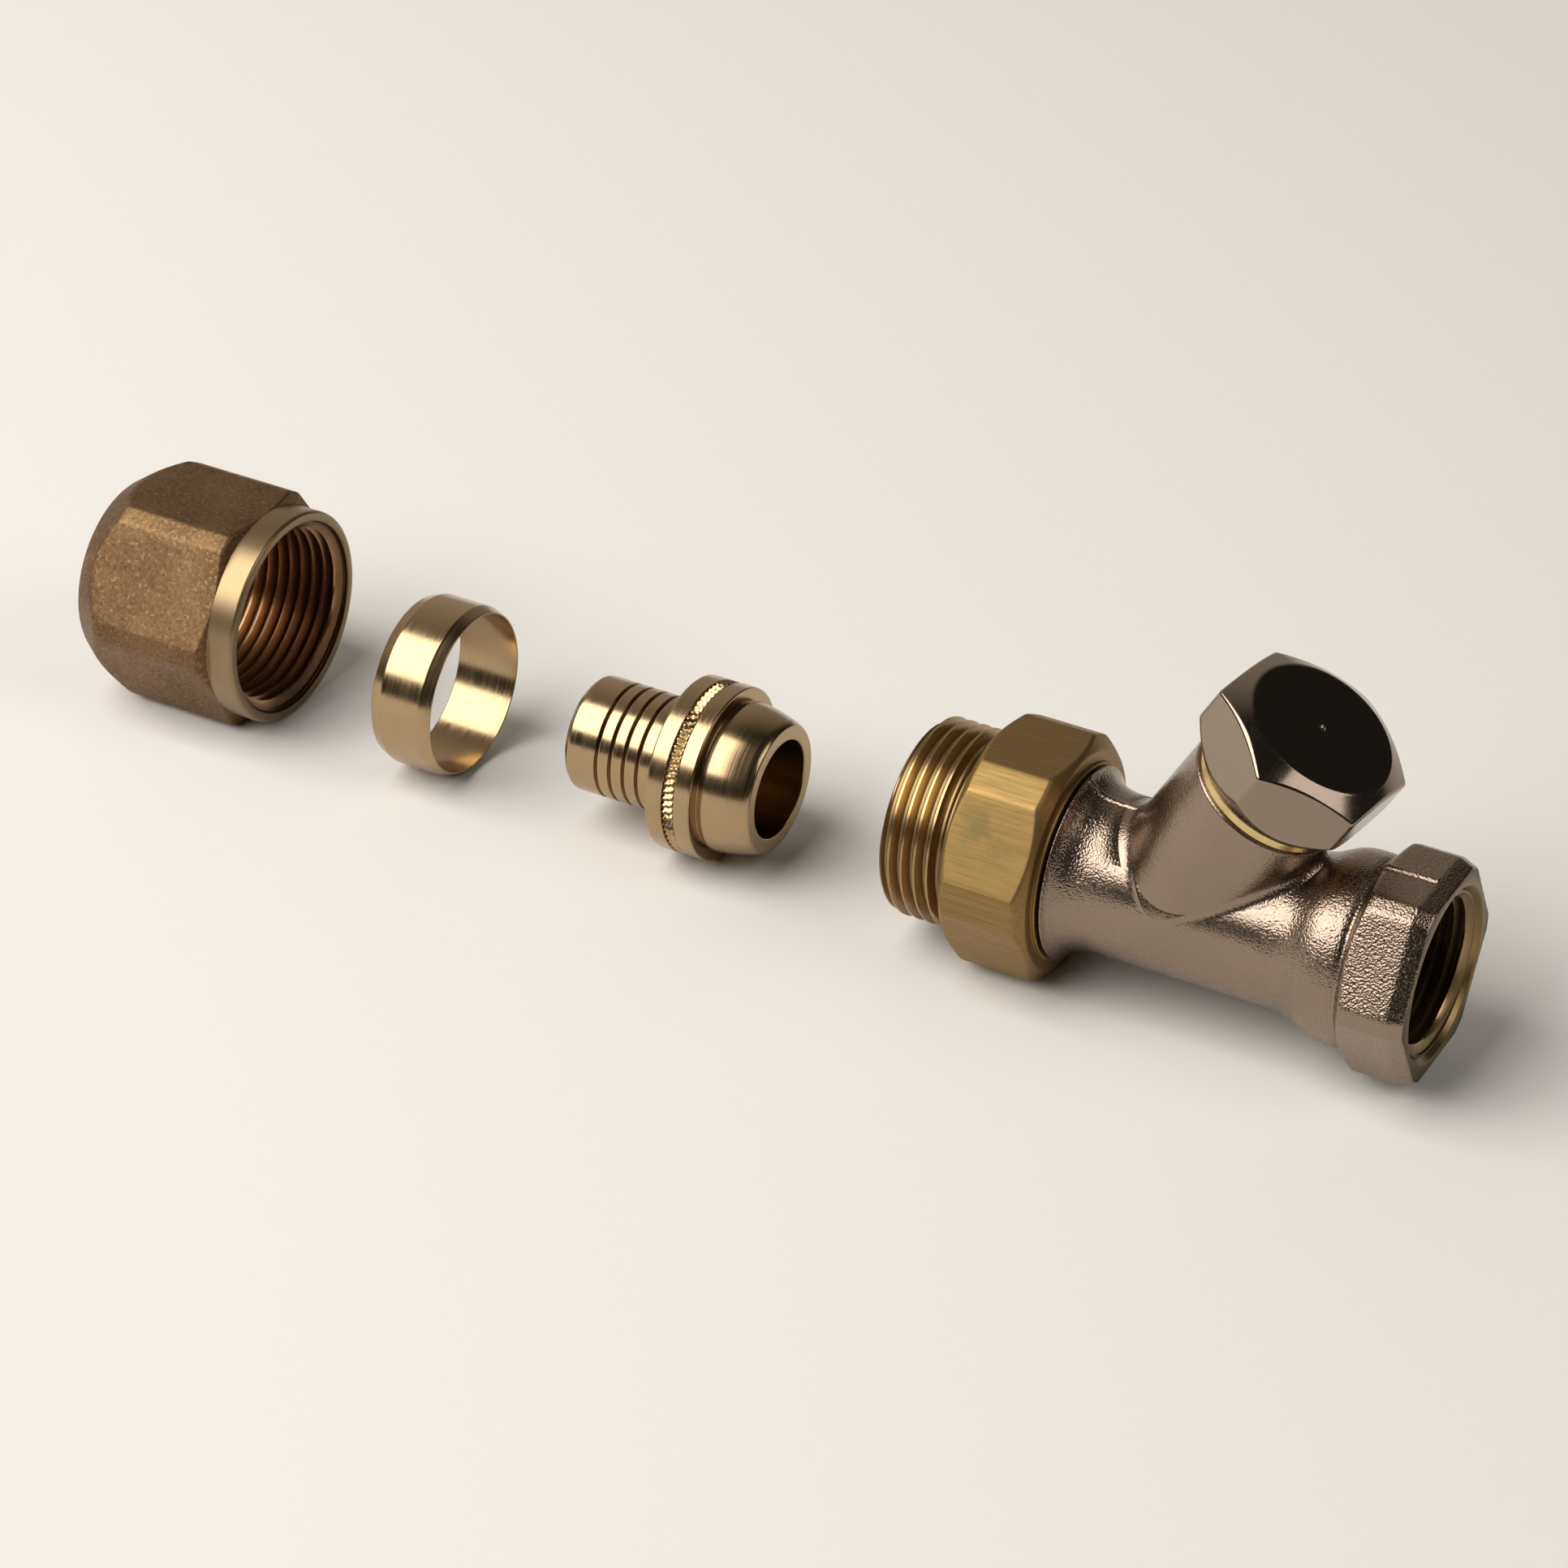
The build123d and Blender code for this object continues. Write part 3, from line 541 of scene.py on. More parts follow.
def fed(tree, shader, colours, roughness, height, depth):
    """Feeds a shader: a share and two colours, a range of roughness, and a bump in millimetres."""
    tint = add(tree, MIX, dict(zip((0, 6, 7), colours)), data_type="RGBA")
    tree.links.new(tint.outputs[2], shader.inputs["Base Color"])
    tree.links.new(add(tree, RANGE, roughness).outputs[0], shader.inputs["Roughness"])
    bump = add(tree, "ShaderNodeBump", {"Height": height, "Distance": depth * MM})
    tree.links.new(bump.outputs[0], shader.inputs["Normal"])


def forged_brass(colours):
    """Hot-forged brass, pickled and tumbled: dull, brown-gold, and speckled where scale stayed."""
    coat, tree, shader, spot = blank("forged_brass_skin", Metallic=1.0)
    specks = {"Vector": spot, "Scale": 1 / (0.55 * MM), "Detail": 4.0, "Roughness": 0.7}
    specks = add(tree, NOISE, specks)
    patches = add(tree, NOISE, {"Vector": spot, "Scale": 1 / (6.5 * MM), "Detail": 2.0})
    faint = add(tree, "MULTIPLY", [patches, 0.35])
    share = add(tree, "MULTIPLY_ADD", [specks, 0.75, faint])
    share = add(tree, RANGE, [share, 0.40, 0.66])
    dark, light = rgba(colours.forged_dark), rgba(colours.forged_brass)
    tint = add(tree, MIX, {0: share, 6: dark, 7: light}, data_type="RGBA")
    grains = add(tree, NOISE, {"Vector": spot, "Scale": 1 / (0.5 * MM), "Detail": 1.0})
    flecks = add(tree, RANGE, [grains, 0.60, 0.72, 0.0, 0.6])
    mix = (flecks, tint.outputs[2], rgba(colours.forged_brass, 1.8))
    fed(tree, shader, mix, [specks, 0.3, 0.7, 0.58, 0.46], specks, 0.02)
    return coat


def bright_brass(colours):
    """Brass turned with a pointed tool: bright, with fine rings that stretch the highlights.

    The rings are drawn 0.2 mm wide, several times the tool's real feed, so that they show.
    """
    coat, tree, shader, spot = blank("bright_turned_brass", Metallic=1.0)
    rings = add(tree, MAPPING, {"Vector": spot, "Scale": (1, 0.02, 0.02)})
    lines = add(tree, NOISE, {"Vector": rings, "Scale": 1 / (0.2 * MM), "Detail": 2.0})
    smear = add(tree, NOISE, {"Vector": spot, "Scale": 1 / (4.0 * MM), "Detail": 2.0})
    mix = (smear, rgba(colours.bright_brass, 0.9), rgba(colours.bright_brass, 1.05))
    fed(tree, shader, mix, [lines, 0.3, 0.7, 0.16, 0.26], lines, 0.006)
    return coat


def drawn_brass(colours):
    """Brass bar as drawn, with die lines along it, and a green-brown stain from handling."""
    coat, tree, shader, spot = blank("drawn_brass_bar", Metallic=1.0)
    along = add(tree, MAPPING, {"Vector": spot, "Scale": (0.05, 1, 1)})
    patterns = ((along, 0.35), (spot, 3.5))
    lines, cloud = [
        add(tree, NOISE, {"Vector": place, "Scale": 1 / (size * MM), "Detail": 3.0, "Roughness": 0.6})
        for place, size in patterns
    ]
    low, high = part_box("swivel_nipple")
    aside, toward_front, lift = 3.5 * MM, 0.8, 8.5 * MM
    centre = ((low.x + high.x) / 2 + aside, low.y * toward_front, NIPPLE[0].z + lift)
    away = add(tree, VECTOR, [spot, centre], operation="DISTANCE").outputs["Value"]
    near = add(tree, RANGE, [away, 5.5 * MM, 1.5 * MM])
    blot = add(tree, RANGE, [cloud, 0.42, 0.6, 0.0, 0.65])
    blot = add(tree, "MULTIPLY", [near, blot])
    streak = add(tree, RANGE, [lines, 0.35, 0.65])
    dull, light = rgba(colours.drawn_brass, 0.82), rgba(colours.drawn_brass)
    plain = add(tree, MIX, {0: streak, 6: dull, 7: light}, data_type="RGBA")
    mix = (blot, plain.outputs[2], rgba(colours.stain))
    fed(tree, shader, mix, [lines, 0.3, 0.7, 0.52, 0.40], lines, 0.011)
    return coat


def cut_brass(shade, name, axis, dark, light, deep):
    """Brass as a thread or bore is cut: tool rings, and painted shade that darkens the colour towards
    one radius, as shade falls in thread roots and deep bores.

    The rings are 0.24 mm wide, coarser than the tool leaves them, so that they show.
    """
    coat, tree, shader, spot = blank(name, Metallic=1.0)
    turn = -atan2(axis[1].z, axis[1].x)
    local = {"Vector": spot, "Location": axis[0], "Rotation": (0, turn, 0)}
    local = add(tree, MAPPING, local, vector_type="TEXTURE")
    flat = add(tree, VECTOR, [local, (0, 1, 1)], operation="MULTIPLY")
    reach = add(tree, VECTOR, [flat], operation="LENGTH").outputs["Value"]
    # Painted shade: the colour darkens from the light radius to the dark radius, made patchy by a
    # noise cloud
    share = add(tree, RANGE, [reach, dark * MM, light * MM])
    rings = add(tree, MAPPING, {"Vector": local, "Scale": (1, 0.03, 0.03)})
    lines = add(tree, NOISE, {"Vector": rings, "Scale": 1 / (0.24 * MM), "Detail": 2.0})
    cloud = add(tree, NOISE, {"Vector": spot, "Scale": 1 / (2.4 * MM), "Detail": 3.0})
    grime = add(tree, RANGE, [cloud, 0.2, 0.6, 0.75, 1.0])
    share = add(tree, "MULTIPLY", [share, grime], use_clamp=True)
    mix = (share, rgba(shade, deep), rgba(shade))
    fed(tree, shader, mix, [share, 0.0, 1.0, 0.42, 0.24], lines, 0.008)
    return coat


def blasted_nickel(colours):
    """Nickel plate over a shot-blasted forging: satin, warm grey, with a skin of fine dents."""
    coat, tree, shader, spot = blank("blasted_nickel_plate", Metallic=1.0)
    dents = {"Vector": spot, "Scale": 1 / (0.28 * MM), "Smoothness": 0.5}
    dents = add(tree, "ShaderNodeTexVoronoi", dents, feature="SMOOTH_F1")
    fine, waves, cloud = [
        add(tree, NOISE, {"Vector": spot, "Scale": 1 / (size * MM), "Detail": 2.0})
        for size in (0.35, 2.2, 9.0)
    ]

    # Both ends of the run are blasted coarsely, the branch and the middle lightly
    place = add(tree, "ShaderNodeSeparateXYZ", [spot])
    middle, smooth_to, coarse_from = BODY[0].x + 31 * MM, 8 * MM, 14 * MM
    aside = add(tree, "ABSOLUTE", [add(tree, "SUBTRACT", [place, middle])])
    coarse = add(tree, RANGE, [aside, smooth_to, coarse_from, 0.3, 1.0])
    bumps = add(tree, "MULTIPLY", [dents, dents])
    height = add(tree, "MULTIPLY", [bumps, coarse])
    height = add(tree, "MULTIPLY", [height, -1.4])
    height = add(tree, "MULTIPLY_ADD", [fine, 0.4, height])
    height = add(tree, "MULTIPLY_ADD", [waves, 0.8, height])
    mix = (cloud, rgba(colours.nickel, 0.88), rgba(colours.nickel, 1.08))
    fed(tree, shader, mix, [fine, 0.3, 0.7, 0.30, 0.20], height, 0.045)
    return coat


def polished_nickel(colours):
    """Nickel plate over polished brass: near mirror, with a faint orange peel and hairlines.

    Real hairlines are far finer than these, which are 0.16 mm wide so that they show.
    """
    coat, tree, shader, spot = blank("polished_nickel_plate", Metallic=1.0)
    peel = add(tree, NOISE, {"Vector": spot, "Scale": 1 / (3.0 * MM), "Detail": 1.0})
    across = add(tree, MAPPING, {"Vector": spot, "Scale": (1, 0.06, 1)})
    hairs = add(tree, NOISE, {"Vector": across, "Scale": 1 / (0.16 * MM), "Detail": 2.0})
    mix = (peel, rgba(colours.mirror_nickel, 0.96), rgba(colours.mirror_nickel))
    fed(tree, shader, mix, [hairs, 0.3, 0.75, 0.10, 0.20], peel, 0.005)
    return coat


def spring_wire(colours):
    """Drawn spring steel: bright, with marks of the die, coarser at 0.24 mm than in truth."""
    coat, tree, shader, spot = blank("bright_spring_wire", Metallic=1.0)
    lines = add(tree, NOISE, {"Vector": spot, "Scale": 1 / (0.24 * MM), "Detail": 2.0})
    mix = (lines, rgba(colours.spring, 0.85), rgba(colours.spring))
    fed(tree, shader, mix, [lines, 0.3, 0.7, 0.24, 0.36], lines, 0.004)
    return coat


def black_rubber(colours):
    """Moulded nitrile rubber: matt black, with a faint bloom."""
    coat, tree, shader, spot = blank("moulded_black_rubber")
    bloom = add(tree, NOISE, {"Vector": spot, "Scale": 1 / (1.0 * MM), "Detail": 3.0})
    mix = (bloom, rgba(colours.rubber), rgba(colours.rubber, 1.8))
    fed(tree, shader, mix, [bloom, 0.3, 0.7, 0.5, 0.7], bloom, 0.004)
    return coat


MAKERS = (
    forged_brass, bright_brass, drawn_brass, blasted_nickel, polished_nickel, spring_wire,
    black_rubber,
)

# Cut brass: its colour, name and axis, the radii where its painted shade is darkest and where it is
# gone, and how dark the painted shade gets
CUTS = {
    "nut_bore": ("nut_bore", "cut_brass_nut_bore", NUT, 13.6, 12.4, 0.3),
    "nut_collar": ("bright_brass", "turned_brass_collar", NUT, 13.4, 17.0, 0.45),
    "union_thread": ("thread_brass", "cut_brass_union_thread", NIPPLE, 11.9, 12.9, 0.6),
    "body_bore": ("thread_brass", "cut_brass_body_bore", BODY, 10.9, 9.3, 0.5),
    "outlet_face": ("thread_brass", "faced_brass_outlet", BODY, 13.6, 9.6, 0.2),
    "bonnet_brass": ("pale_brass", "turned_brass_bonnet", BONNET, 6.9, 8.2, 0.4),
    "tail_bore": ("bright_brass", "cut_brass_tail_bore", TAIL, 5.2, 6.7, 0.3),
}
made = {}


def finish(name):
    """Material by name, made when it is first asked for."""
    if name not in made:
        colours = bpy.context.scene.valve_finishes
        if name in CUTS:
            shade, *rest = CUTS[name]
            made[name] = cut_brass(getattr(colours, shade), *rest)
        else:
            made[name] = {maker.__name__: maker for maker in MAKERS}[name](colours)
    return made[name]


def finishes(*names):
    """Several materials by name."""
    return [finish(name) for name in names]


# Operators, one for each piece or group of like pieces


class VALVE_OT_nut(bpy.types.Operator):
    """Make the coupling nut with its inside thread"""

    bl_idname = "valve.nut"
    bl_label = "Coupling nut"

    def execute(self, context):
        sizes = context.scene.valve_threads
        pitch, depth = sizes.pipe_pitch / MM, sizes.pipe_depth / MM
        flats, bevel, cavity, root = 30.0, 1.5, 13.4, 13.33
        collar, corner = flats / 2, corner_reach(flats, bevel)

        def section(h):
            cone = (h - 12.8) / tan(radians(35.5))
            chamfer = 0.7 * (h - collar) / (corner - collar)
            return [
                *part(
                    SKIN, (0, 11.15, 0.15), (0, 12.8, 0.5), (cone, h, 0.6),
                    (22.8 - chamfer, h, 0.35),
                ),
                *part(FACE, (22.8, collar - 0.01, 0.1), (26.8, collar, 0.5)),
                *part(
                    BORE, (26.8, 13.6, 0.2), (26.2, 13.6, 0.1), (26.2, cavity, 0), (3.6, cavity, 0),
                    (1.4, 11.15, 0.15),
                ),
            ]

        outline = hexagon_outline(flats, bevel, 0.4)
        skins = finishes("forged_brass", "nut_bore", "nut_collar")
        nut = turned("coupling_nut_hexagon", NUT, outline, section, skins)
        dress(nut, "nut", "forged_brass", "coupling_nut")
        meshing = 14.52 / pitch + 0.5
        screw = thread(
            "coupling_nut_thread", NUT, 3.7, 22.5, root, root - depth, 13.7, pitch, 0.8, meshing,
            finish("nut_bore"),
        )
        dress(screw, "nut", "forged_brass", "coupling_nut")
        return {"FINISHED"}


class VALVE_OT_olive(bpy.types.Operator):
    """Make the olive"""

    bl_idname = "valve.olive"
    bl_label = "Olive"

    def execute(self, context):
        hole, foot, middle, length, cone = 11.1, 11.3, 11.9, 9.2, 1.6
        corners = part(
            SKIN, (0, hole, 0.1), (0, foot, 0.1), (cone, middle, 0.1), (length - cone, middle, 0.1),
            (length, foot, 0.1), (length, hole, 0.1),
        )
        skins = finishes("bright_brass")
        olive = turned("olive_ring", OLIVE, round_outline(), lambda h: corners, skins)
        dress(olive, "olive", "bright_brass", "olive")
        return {"FINISHED"}


class VALVE_OT_tail(bpy.types.Operator):
    """Make the pipe tail with its barbs and knurl"""

    bl_idname = "valve.tail"
    bl_label = "Pipe tail"

    def execute(self, context):
        trim = context.scene.valve_trim
        spigot, groove, collar, bore = 7.9, 7.5, 11.9, 6.75
        knurl_start, knurl_width, knurl_depth = 17.3, 1.8, 0.45
        barbs = []
        for number in range(4):
            left = 4.8 + number * 2.05
            steps = (left, spigot, 0.05), (left, groove, 0.04), (left + 0.6, spigot, 0.08)
            barbs += part(SKIN, *steps)
        nose = []
        middle, waist, slope, bulge = 25.2, 9.845, 0.2259, 1 / 40
        for j in range(11):
            aside = 5.6 * (j / 10 - 0.5)
            nose.append((middle + aside, waist - slope * aside - bulge * aside**2, 0, SKIN))
        corners = [
            *part(SKIN, (0, bore, 0.15), (0, 7.2, 0.1), (0.7, spigot, 0.3)),
            *barbs,
            *part(
                SKIN, (14.8, spigot, 0.15), (14.8, collar, 0.3), (knurl_start, collar, 0.1),
                (knurl_start, 11.4, 0), (19.1, 11.4, 0), (19.1, collar, 0.1), (21.4, collar, 0.25),
                (21.4, 9.9, 0.1), (22.3, 9.9, 0.1),
            ),
            *nose,
            *part(SKIN, (28.5, 8.65, 0.2)),
            *part(BORE, (28.5, bore, 0.2)),
        ]
        skins = finishes("bright_brass", "tail_bore")
        tail = turned("pipe_tail_turned", TAIL, round_outline(), lambda h: corners, skins)
        dress(tail, "tail", "bright_brass", "pipe_tail")
        settings = {
            "Length": knurl_width * MM, "Root radius": (collar - knurl_depth) * MM,
            "Crest radius": collar * MM, "Back radius": 11.2 * MM, "Slant": trim.knurl_slant,
            "Teeth": trim.knurl_teeth, "Rows": 8, "Material": finish("bright_brass"),
        }
        band = placed(grown("pipe_tail_knurl", knurl_tree(), settings), TAIL, knurl_start)
        knurl = new_piece("pipe_tail_knurl", facing_out(band), crisp=25)
        dress(knurl, "tail", "bright_brass", "pipe_tail")
        return {"FINISHED"}


class VALVE_OT_nipple(bpy.types.Operator):
    """Make the swivel nipple with its union thread"""

    bl_idname = "valve.nipple"
    bl_label = "Swivel nipple"

    def execute(self, context):
        sizes = context.scene.valve_threads
        pitch, depth = sizes.pipe_pitch / MM, sizes.pipe_depth / MM
        flats, bevel, crest = 30.5, 2.6, 13.22
        back_foot, front_foot, corner = 14.9, 14.6, corner_reach(flats, bevel)
        neck, groove, waterway = 9.65, 10.45, 7.6

        def section(h):
            back = 1.2 * (h - back_foot) / (corner - back_foot)
            front = 1.3 * (h - front_foot) / (corner - front_foot)
            return [
                *part(BORE, (0, 10.885, 0.2), (0, 12.0, 0.1), (8.4, 12.0, 0)),
                *part(
                    SKIN, (9.8, 11.95, 0.3), (9.8, back_foot, 0.2), (9.8 + back, h, 0.35),
                    (22.0 - front, h, 0.35), (22.0, front_foot, 0.2), (22.0, 13.2, 0.1),
                    (22.5, 13.2, 0.15),
                ),
                *part(
                    BORE, (22.5, 11.6, 0.1), (20.4, 11.6, 0), (20.4, neck, 0), (17.9, neck, 0),
                    (17.9, groove, 0), (16.0, groove, 0), (16.0, neck, 0), (9.6, neck, 0),
                    (9.6, waterway, 0.15), (7.3, waterway, 0.15), (7.3, 9.237, 0.1),
                ),
            ]

        outline = hexagon_outline(flats, bevel, 0.35)
        skins = finishes("drawn_brass", "union_thread")
        nipple = turned("swivel_nipple_bar", NIPPLE, outline, section, skins)
        dress(nipple, "nipple", "drawn_brass", "swivel_nipple")
        screw = thread(
            "swivel_nipple_thread", NIPPLE, 0.02, 8.4, crest - depth, crest, 11.6, pitch, 0.9, 0.0,
            finish("union_thread"),
        )
        dress(screw, "nipple", "drawn_brass", "swivel_nipple")
        return {"FINISHED"}


class VALVE_OT_body(bpy.types.Operator):
    """Make the forged valve body with its slanted branch and outlet thread"""

    bl_idname = "valve.body"
    bl_label = "Valve body"

    def execute(self, context):
        sizes = context.scene.valve_threads
        trim = context.scene.valve_trim
        pitch, depth = sizes.pipe_pitch / MM, sizes.pipe_depth / MM
        flats, bevel, flared, foot, far_corner = 26.5, 1.3, 12.6, 12.2, 15.3
        waterway, outlet, root, neck = 6.9, 10.6, 10.48, 9.5
        run_radius, branch_radius, chamber, run_wall = 10.45, 10.2, 7.8, 8.6
        skins = finishes("blasted_nickel", "body_bore", "outlet_face")
        sweep = curve_between((13.1, 12.8), (13.9, 10.7), (17.6, run_radius), count=12)
        flare = curve_between(
            (42.5, run_radius), (46.5, run_radius), (46.5, flared), (50.5, flared), count=16
        )

        def section(h):
            ramp = 52.9 + 1.6 * (h - foot) / (far_corner - foot)
            return [
                *part(
                    BORE, (0, waterway, 0.1), (0, neck, 0.5), (2.0, neck, 0), (2.0, 8.1, 0),
                    (4.4, 8.1, 0), (4.4, neck, 0), (6.1, neck, 0), (6.1, 8.75, 0), (7.7, 8.75, 0),
                    (7.7, neck, 0), (12.9, neck, 0.1),
                ),
                *part(SKIN, (12.9, 12.8, 0.15), (13.1, 12.8, 0.1)),
                *sweep,
                *part(SKIN, (17.6, run_radius, 0), (42.5, run_radius, 0)),
                *flare,
                *part(
                    SKIN, (50.5, flared, 0.3), (52.0, flared, 0.5), (52.9, foot, 0.5),
                    (ramp, h, 0.6), (60.4, h, 0.35),
                ),
                *part(FACE, (62.5, h * 25.0 / flats, 0.3), (62.5, 11.6, 0.2)),
                *part(BORE, (61.38, outlet, 0.1), (47.5, outlet, 0), (47.5, waterway, 0.3)),
            ]

        outline = hexagon_outline(flats, bevel, 0.5, steps=14)
        run = turned("valve_body_run", BODY, outline, section, skins)
        low, high, wide = 1.4, 14.0, 7.9
        corners = part(BORE, (low, 0, 0), (low, wide, 0), (high, wide, 0), (high, 0, 0))
        bore = turned("bonnet_bore_cutter", BONNET, round_outline(96), lambda h: corners, [])
        cut = run.modifiers.new("Bonnet bore", "BOOLEAN")
        cut.operation = "DIFFERENCE"
        cut.solver = "MANIFOLD"
        cut.object = bore
        context.view_layer.update()
        graph = context.evaluated_depsgraph_get()
        opened = bpy.data.meshes.new_from_object(run.evaluated_get(graph))
        run.modifiers.clear()
        run.data = opened
        bpy.data.objects.remove(bore)
        dress(run, "valve", "blasted_nickel", "valve_body")

        # The branch's tube ends inside the run's wall, where the bore of its chamber opens
        rings = []
        for bearing, _ in round_outline():
            opening = sqrt(run_wall**2 - (chamber * cos(bearing)) ** 2)
            inner = (opening - cos(LEAN) * chamber * sin(bearing)) / sin(LEAN)
            corners = [
                *part(
                    SKIN, (inner, chamber, 0), (inner, 9.0, 0),
                    (max(inner, 0.2) + 0.5, branch_radius, 0), (22.2, branch_radius, 0.45),
                ),
                *part(
                    BORE, (22.2, 9.35, 0.1), (21.0, 9.35, 0.05), (21.0, 8.62, 0.05),
                    (12.0, 8.62, 0.05), (12.0, chamber, 0.1),
                ),
            ]
            rings.append(ring(BONNET, bearing, corners))
        branch = new_piece("valve_body_branch", swept(rings), skins)
        dress(branch, "valve", "blasted_nickel", "valve_body")

        # Ball-rolled crease between branch and run
        mean_ball, more_toward_nipple, behind, arc_steps = 2.3, 0.7, 1.9, 10
        rings = []
        for bearing, _ in round_outline(192):
            ball = mean_ball + more_toward_nipple * sin(bearing)
            far = branch_radius + ball
            height = sqrt((run_radius + ball) ** 2 - (far * cos(bearing)) ** 2)
            place = (height - cos(LEAN) * far * sin(bearing)) / sin(LEAN)
            from_branch = outward(BONNET, bearing)
            centre = BONNET[1] * place + from_branch * far
            from_run = Vector((0, centre.y, centre.z)).normalized()
            ends = (-from_run, -from_branch)
            angle = ends[0].angle(ends[1])
            spots = []
            for k in range(arc_steps + 1):
                u = k / arc_steps
                way = (ends[0] * sin((1 - u) * angle) + ends[1] * sin(u * angle)) / sin(angle)
                spots.append(centre + way * ball)
            spots.append(centre + (ends[0] + ends[1]).normalized() * ball * behind)
            rings.append([(BONNET[0] + spot * MM, SKIN) for spot in spots])
        crease = new_piece("valve_body_crease", swept(rings), skins[:1])
        dress(crease, "valve", "blasted_nickel", "valve_body")

        # Slanted partition with the seat's hole, out to a radius inside the run's wall
        half, edge, seat_hole = 1.4, 7.2, 5.2
        rings = []
        for bearing, _ in round_outline(96):
            across, upward = cos(bearing), sin(bearing)
            reaches = []
            for place in (-half, half):
                a = across**2 + (cos(LEAN) * upward) ** 2
                b = 2 * sin(LEAN) * place * cos(LEAN) * upward
                c = (sin(LEAN) * place) ** 2 - edge**2
                reaches.append((-b + sqrt(b * b - 4 * a * c)) / (2 * a))
            corners = part(
                SKIN, (-half, seat_hole, 0.1), (-half, reaches[0], 0), (half, reaches[1], 0),
                (half, seat_hole, 0.1),
            )
            rings.append(ring(BONNET, bearing, corners))
        seat = new_piece("valve_body_seat", swept(rings), finishes("body_bore"))
        dress(seat, "valve", "blasted_nickel", "valve_body")

        screw = thread(
            "valve_body_outlet_thread", BODY, 47.6, 14.2, root, root - depth, 10.8, pitch, 1.0, 0.0,
            finish("body_bore"),
        )
        dress(screw, "valve", "blasted_nickel", "valve_body")

        tree = line_tree()
        curve = [spot[:2] for spot in sweep]
        profiles = {
            "valve_body_line_inlet": [(13.1, 12.7), *curve, (21.0, run_radius)],
            "valve_body_line_outlet": [(52.2, 12.55), (52.9, 12.25), (53.5, 13.2), (60.3, 13.25)],
        }
        for name, spots in profiles.items():
            path = bpy.data.meshes.new(name)
            places = [BODY[0] + Vector((a, 0, r)) * MM for a, r in spots]
            path.from_pydata(places, [(i, i + 1) for i in range(len(places) - 1)], [])
            settings = {
                "Width": trim.line_width, "Height": 2 * trim.line_height, "Seed": 4,
                "Material": finish("blasted_nickel"),
            }
            ridge = new_piece(name, facing_out(grown(name, tree, settings, path)))
            dress(ridge, "valve", "blasted_nickel", "valve_body")
        return {"FINISHED"}


class VALVE_OT_bonnet(bpy.types.Operator):
    """Make the bonnet insert and the cap with their threads"""

    bl_idname = "valve.bonnet"
    bl_label = "Bonnet and cap"

    def execute(self, context):
        sizes = context.scene.valve_threads
        pitch, depth = sizes.fine_pitch / MM, sizes.fine_depth / MM

        def section(h):
            return part(
                SKIN, (12.6, 4.6, 0.1), (12.6, 8.5, 0.4), (22.2, 8.5, 0.1), (22.2, 9.8, 0.15),
                (23.6, 9.8, 0.35), (23.6, 7.3, 0.2), (27.3, 7.3, 0.2), (27.4, 6.7, 0.1),
                (27.4, h, 0.1), (29.8, h, 0.15), (30.0, h - 0.3, 0.1), (30.0, 4.8, 0.15),
                (27.3, 4.8, 0.1), (27.3, 3.6, 0.1), (20.0, 3.6, 0.1), (20.0, 4.6, 0.1),
            )

        outline = hexagon_outline(13.0, 0.4, 0.2)
        skins = finishes("bonnet_brass")
        insert = turned("bonnet_insert_turned", BONNET, outline, section, skins)
        dress(insert, "valve", "turned_brass", "bonnet_insert")
        crest, length, lead = 7.9, 3.6, 0.4
        screw = thread(
            "bonnet_insert_thread", BONNET, 23.7, length, crest - depth, crest, 7.1, pitch, lead,
            0.0, finish("bonnet_brass"),
        )
        dress(screw, "valve", "turned_brass", "bonnet_insert")

        # The cap's chamfers run from the hexagon's corners to a round foot and top
        flats, foot, crown = 23.0, 10.3, 9.75
        corner = flats / sqrt(3)

        def hood(h):
            low = 3.9 * (h - foot) / (corner - foot)
            high = 10.9 - 2.1 * (h - crown) / (corner - crown)
            return [
                *part(BORE, (23.8, 8.15, 0.15)),
                *part(
                    SKIN, (23.8, foot, 0.25), (23.8 + low, h, 0.35), (23.8 + high, h, 0.35),
                    (34.7, crown, 0.3), (34.7, 0.45, 0.05), (34.3, 0, 0),
                ),
                *part(BORE, (31.3, 0, 0), (31.3, 7.8, 0.1), (28.0, 7.8, 0), (28.0, 8.15, 0)),
            ]

        outline = hexagon_outline(flats, 0, 0.45, -7.65)
        skins = finishes("polished_nickel", "bonnet_brass")
        cap = turned("cap_hexagon", BONNET, outline, hood, skins)
        dress(cap, "cap", "polished_nickel", "cap")
        root, length, meshing = 8.05, 4.0, 0.5 - 0.2 / pitch
        screw = thread(
            "cap_thread", BONNET, 23.9, length, root, 8.02 - depth, 8.3, pitch, lead, meshing,
            finish("bonnet_brass"),
        )
        dress(screw, "cap", "polished_nickel", "cap")
        return {"FINISHED"}


class VALVE_OT_inner(bpy.types.Operator):
    """Give the parts inside the valve their finishes"""

    bl_idname = "valve.inner"
    bl_label = "Inner parts"

    def execute(self, context):
        coats = {
            "black_rubber": (
                "bonnet_o_ring", "nipple_o_ring", "seat_seal", "spindle_o_ring_lower",
                "spindle_o_ring_upper", "cap_gasket",
            ),
            "spring_wire": ("nipple_retaining_ring", "cone_retaining_clip"),
            "bonnet_brass": ("shutoff_cone", "spindle", "bonnet_insert"),
            "blasted_nickel": ("valve_body",),
            "drawn_brass": ("swivel_nipple",),
            "polished_nickel": ("cap",),
            "forged_brass": ("coupling_nut",),
            "bright_brass": ("olive", "pipe_tail"),
        }
        for name, nodes in coats.items():
            for node in nodes:
                for slot in frame["nodes"][node].material_slots:
                    slot.material = finish(name)
        return {"FINISHED"}


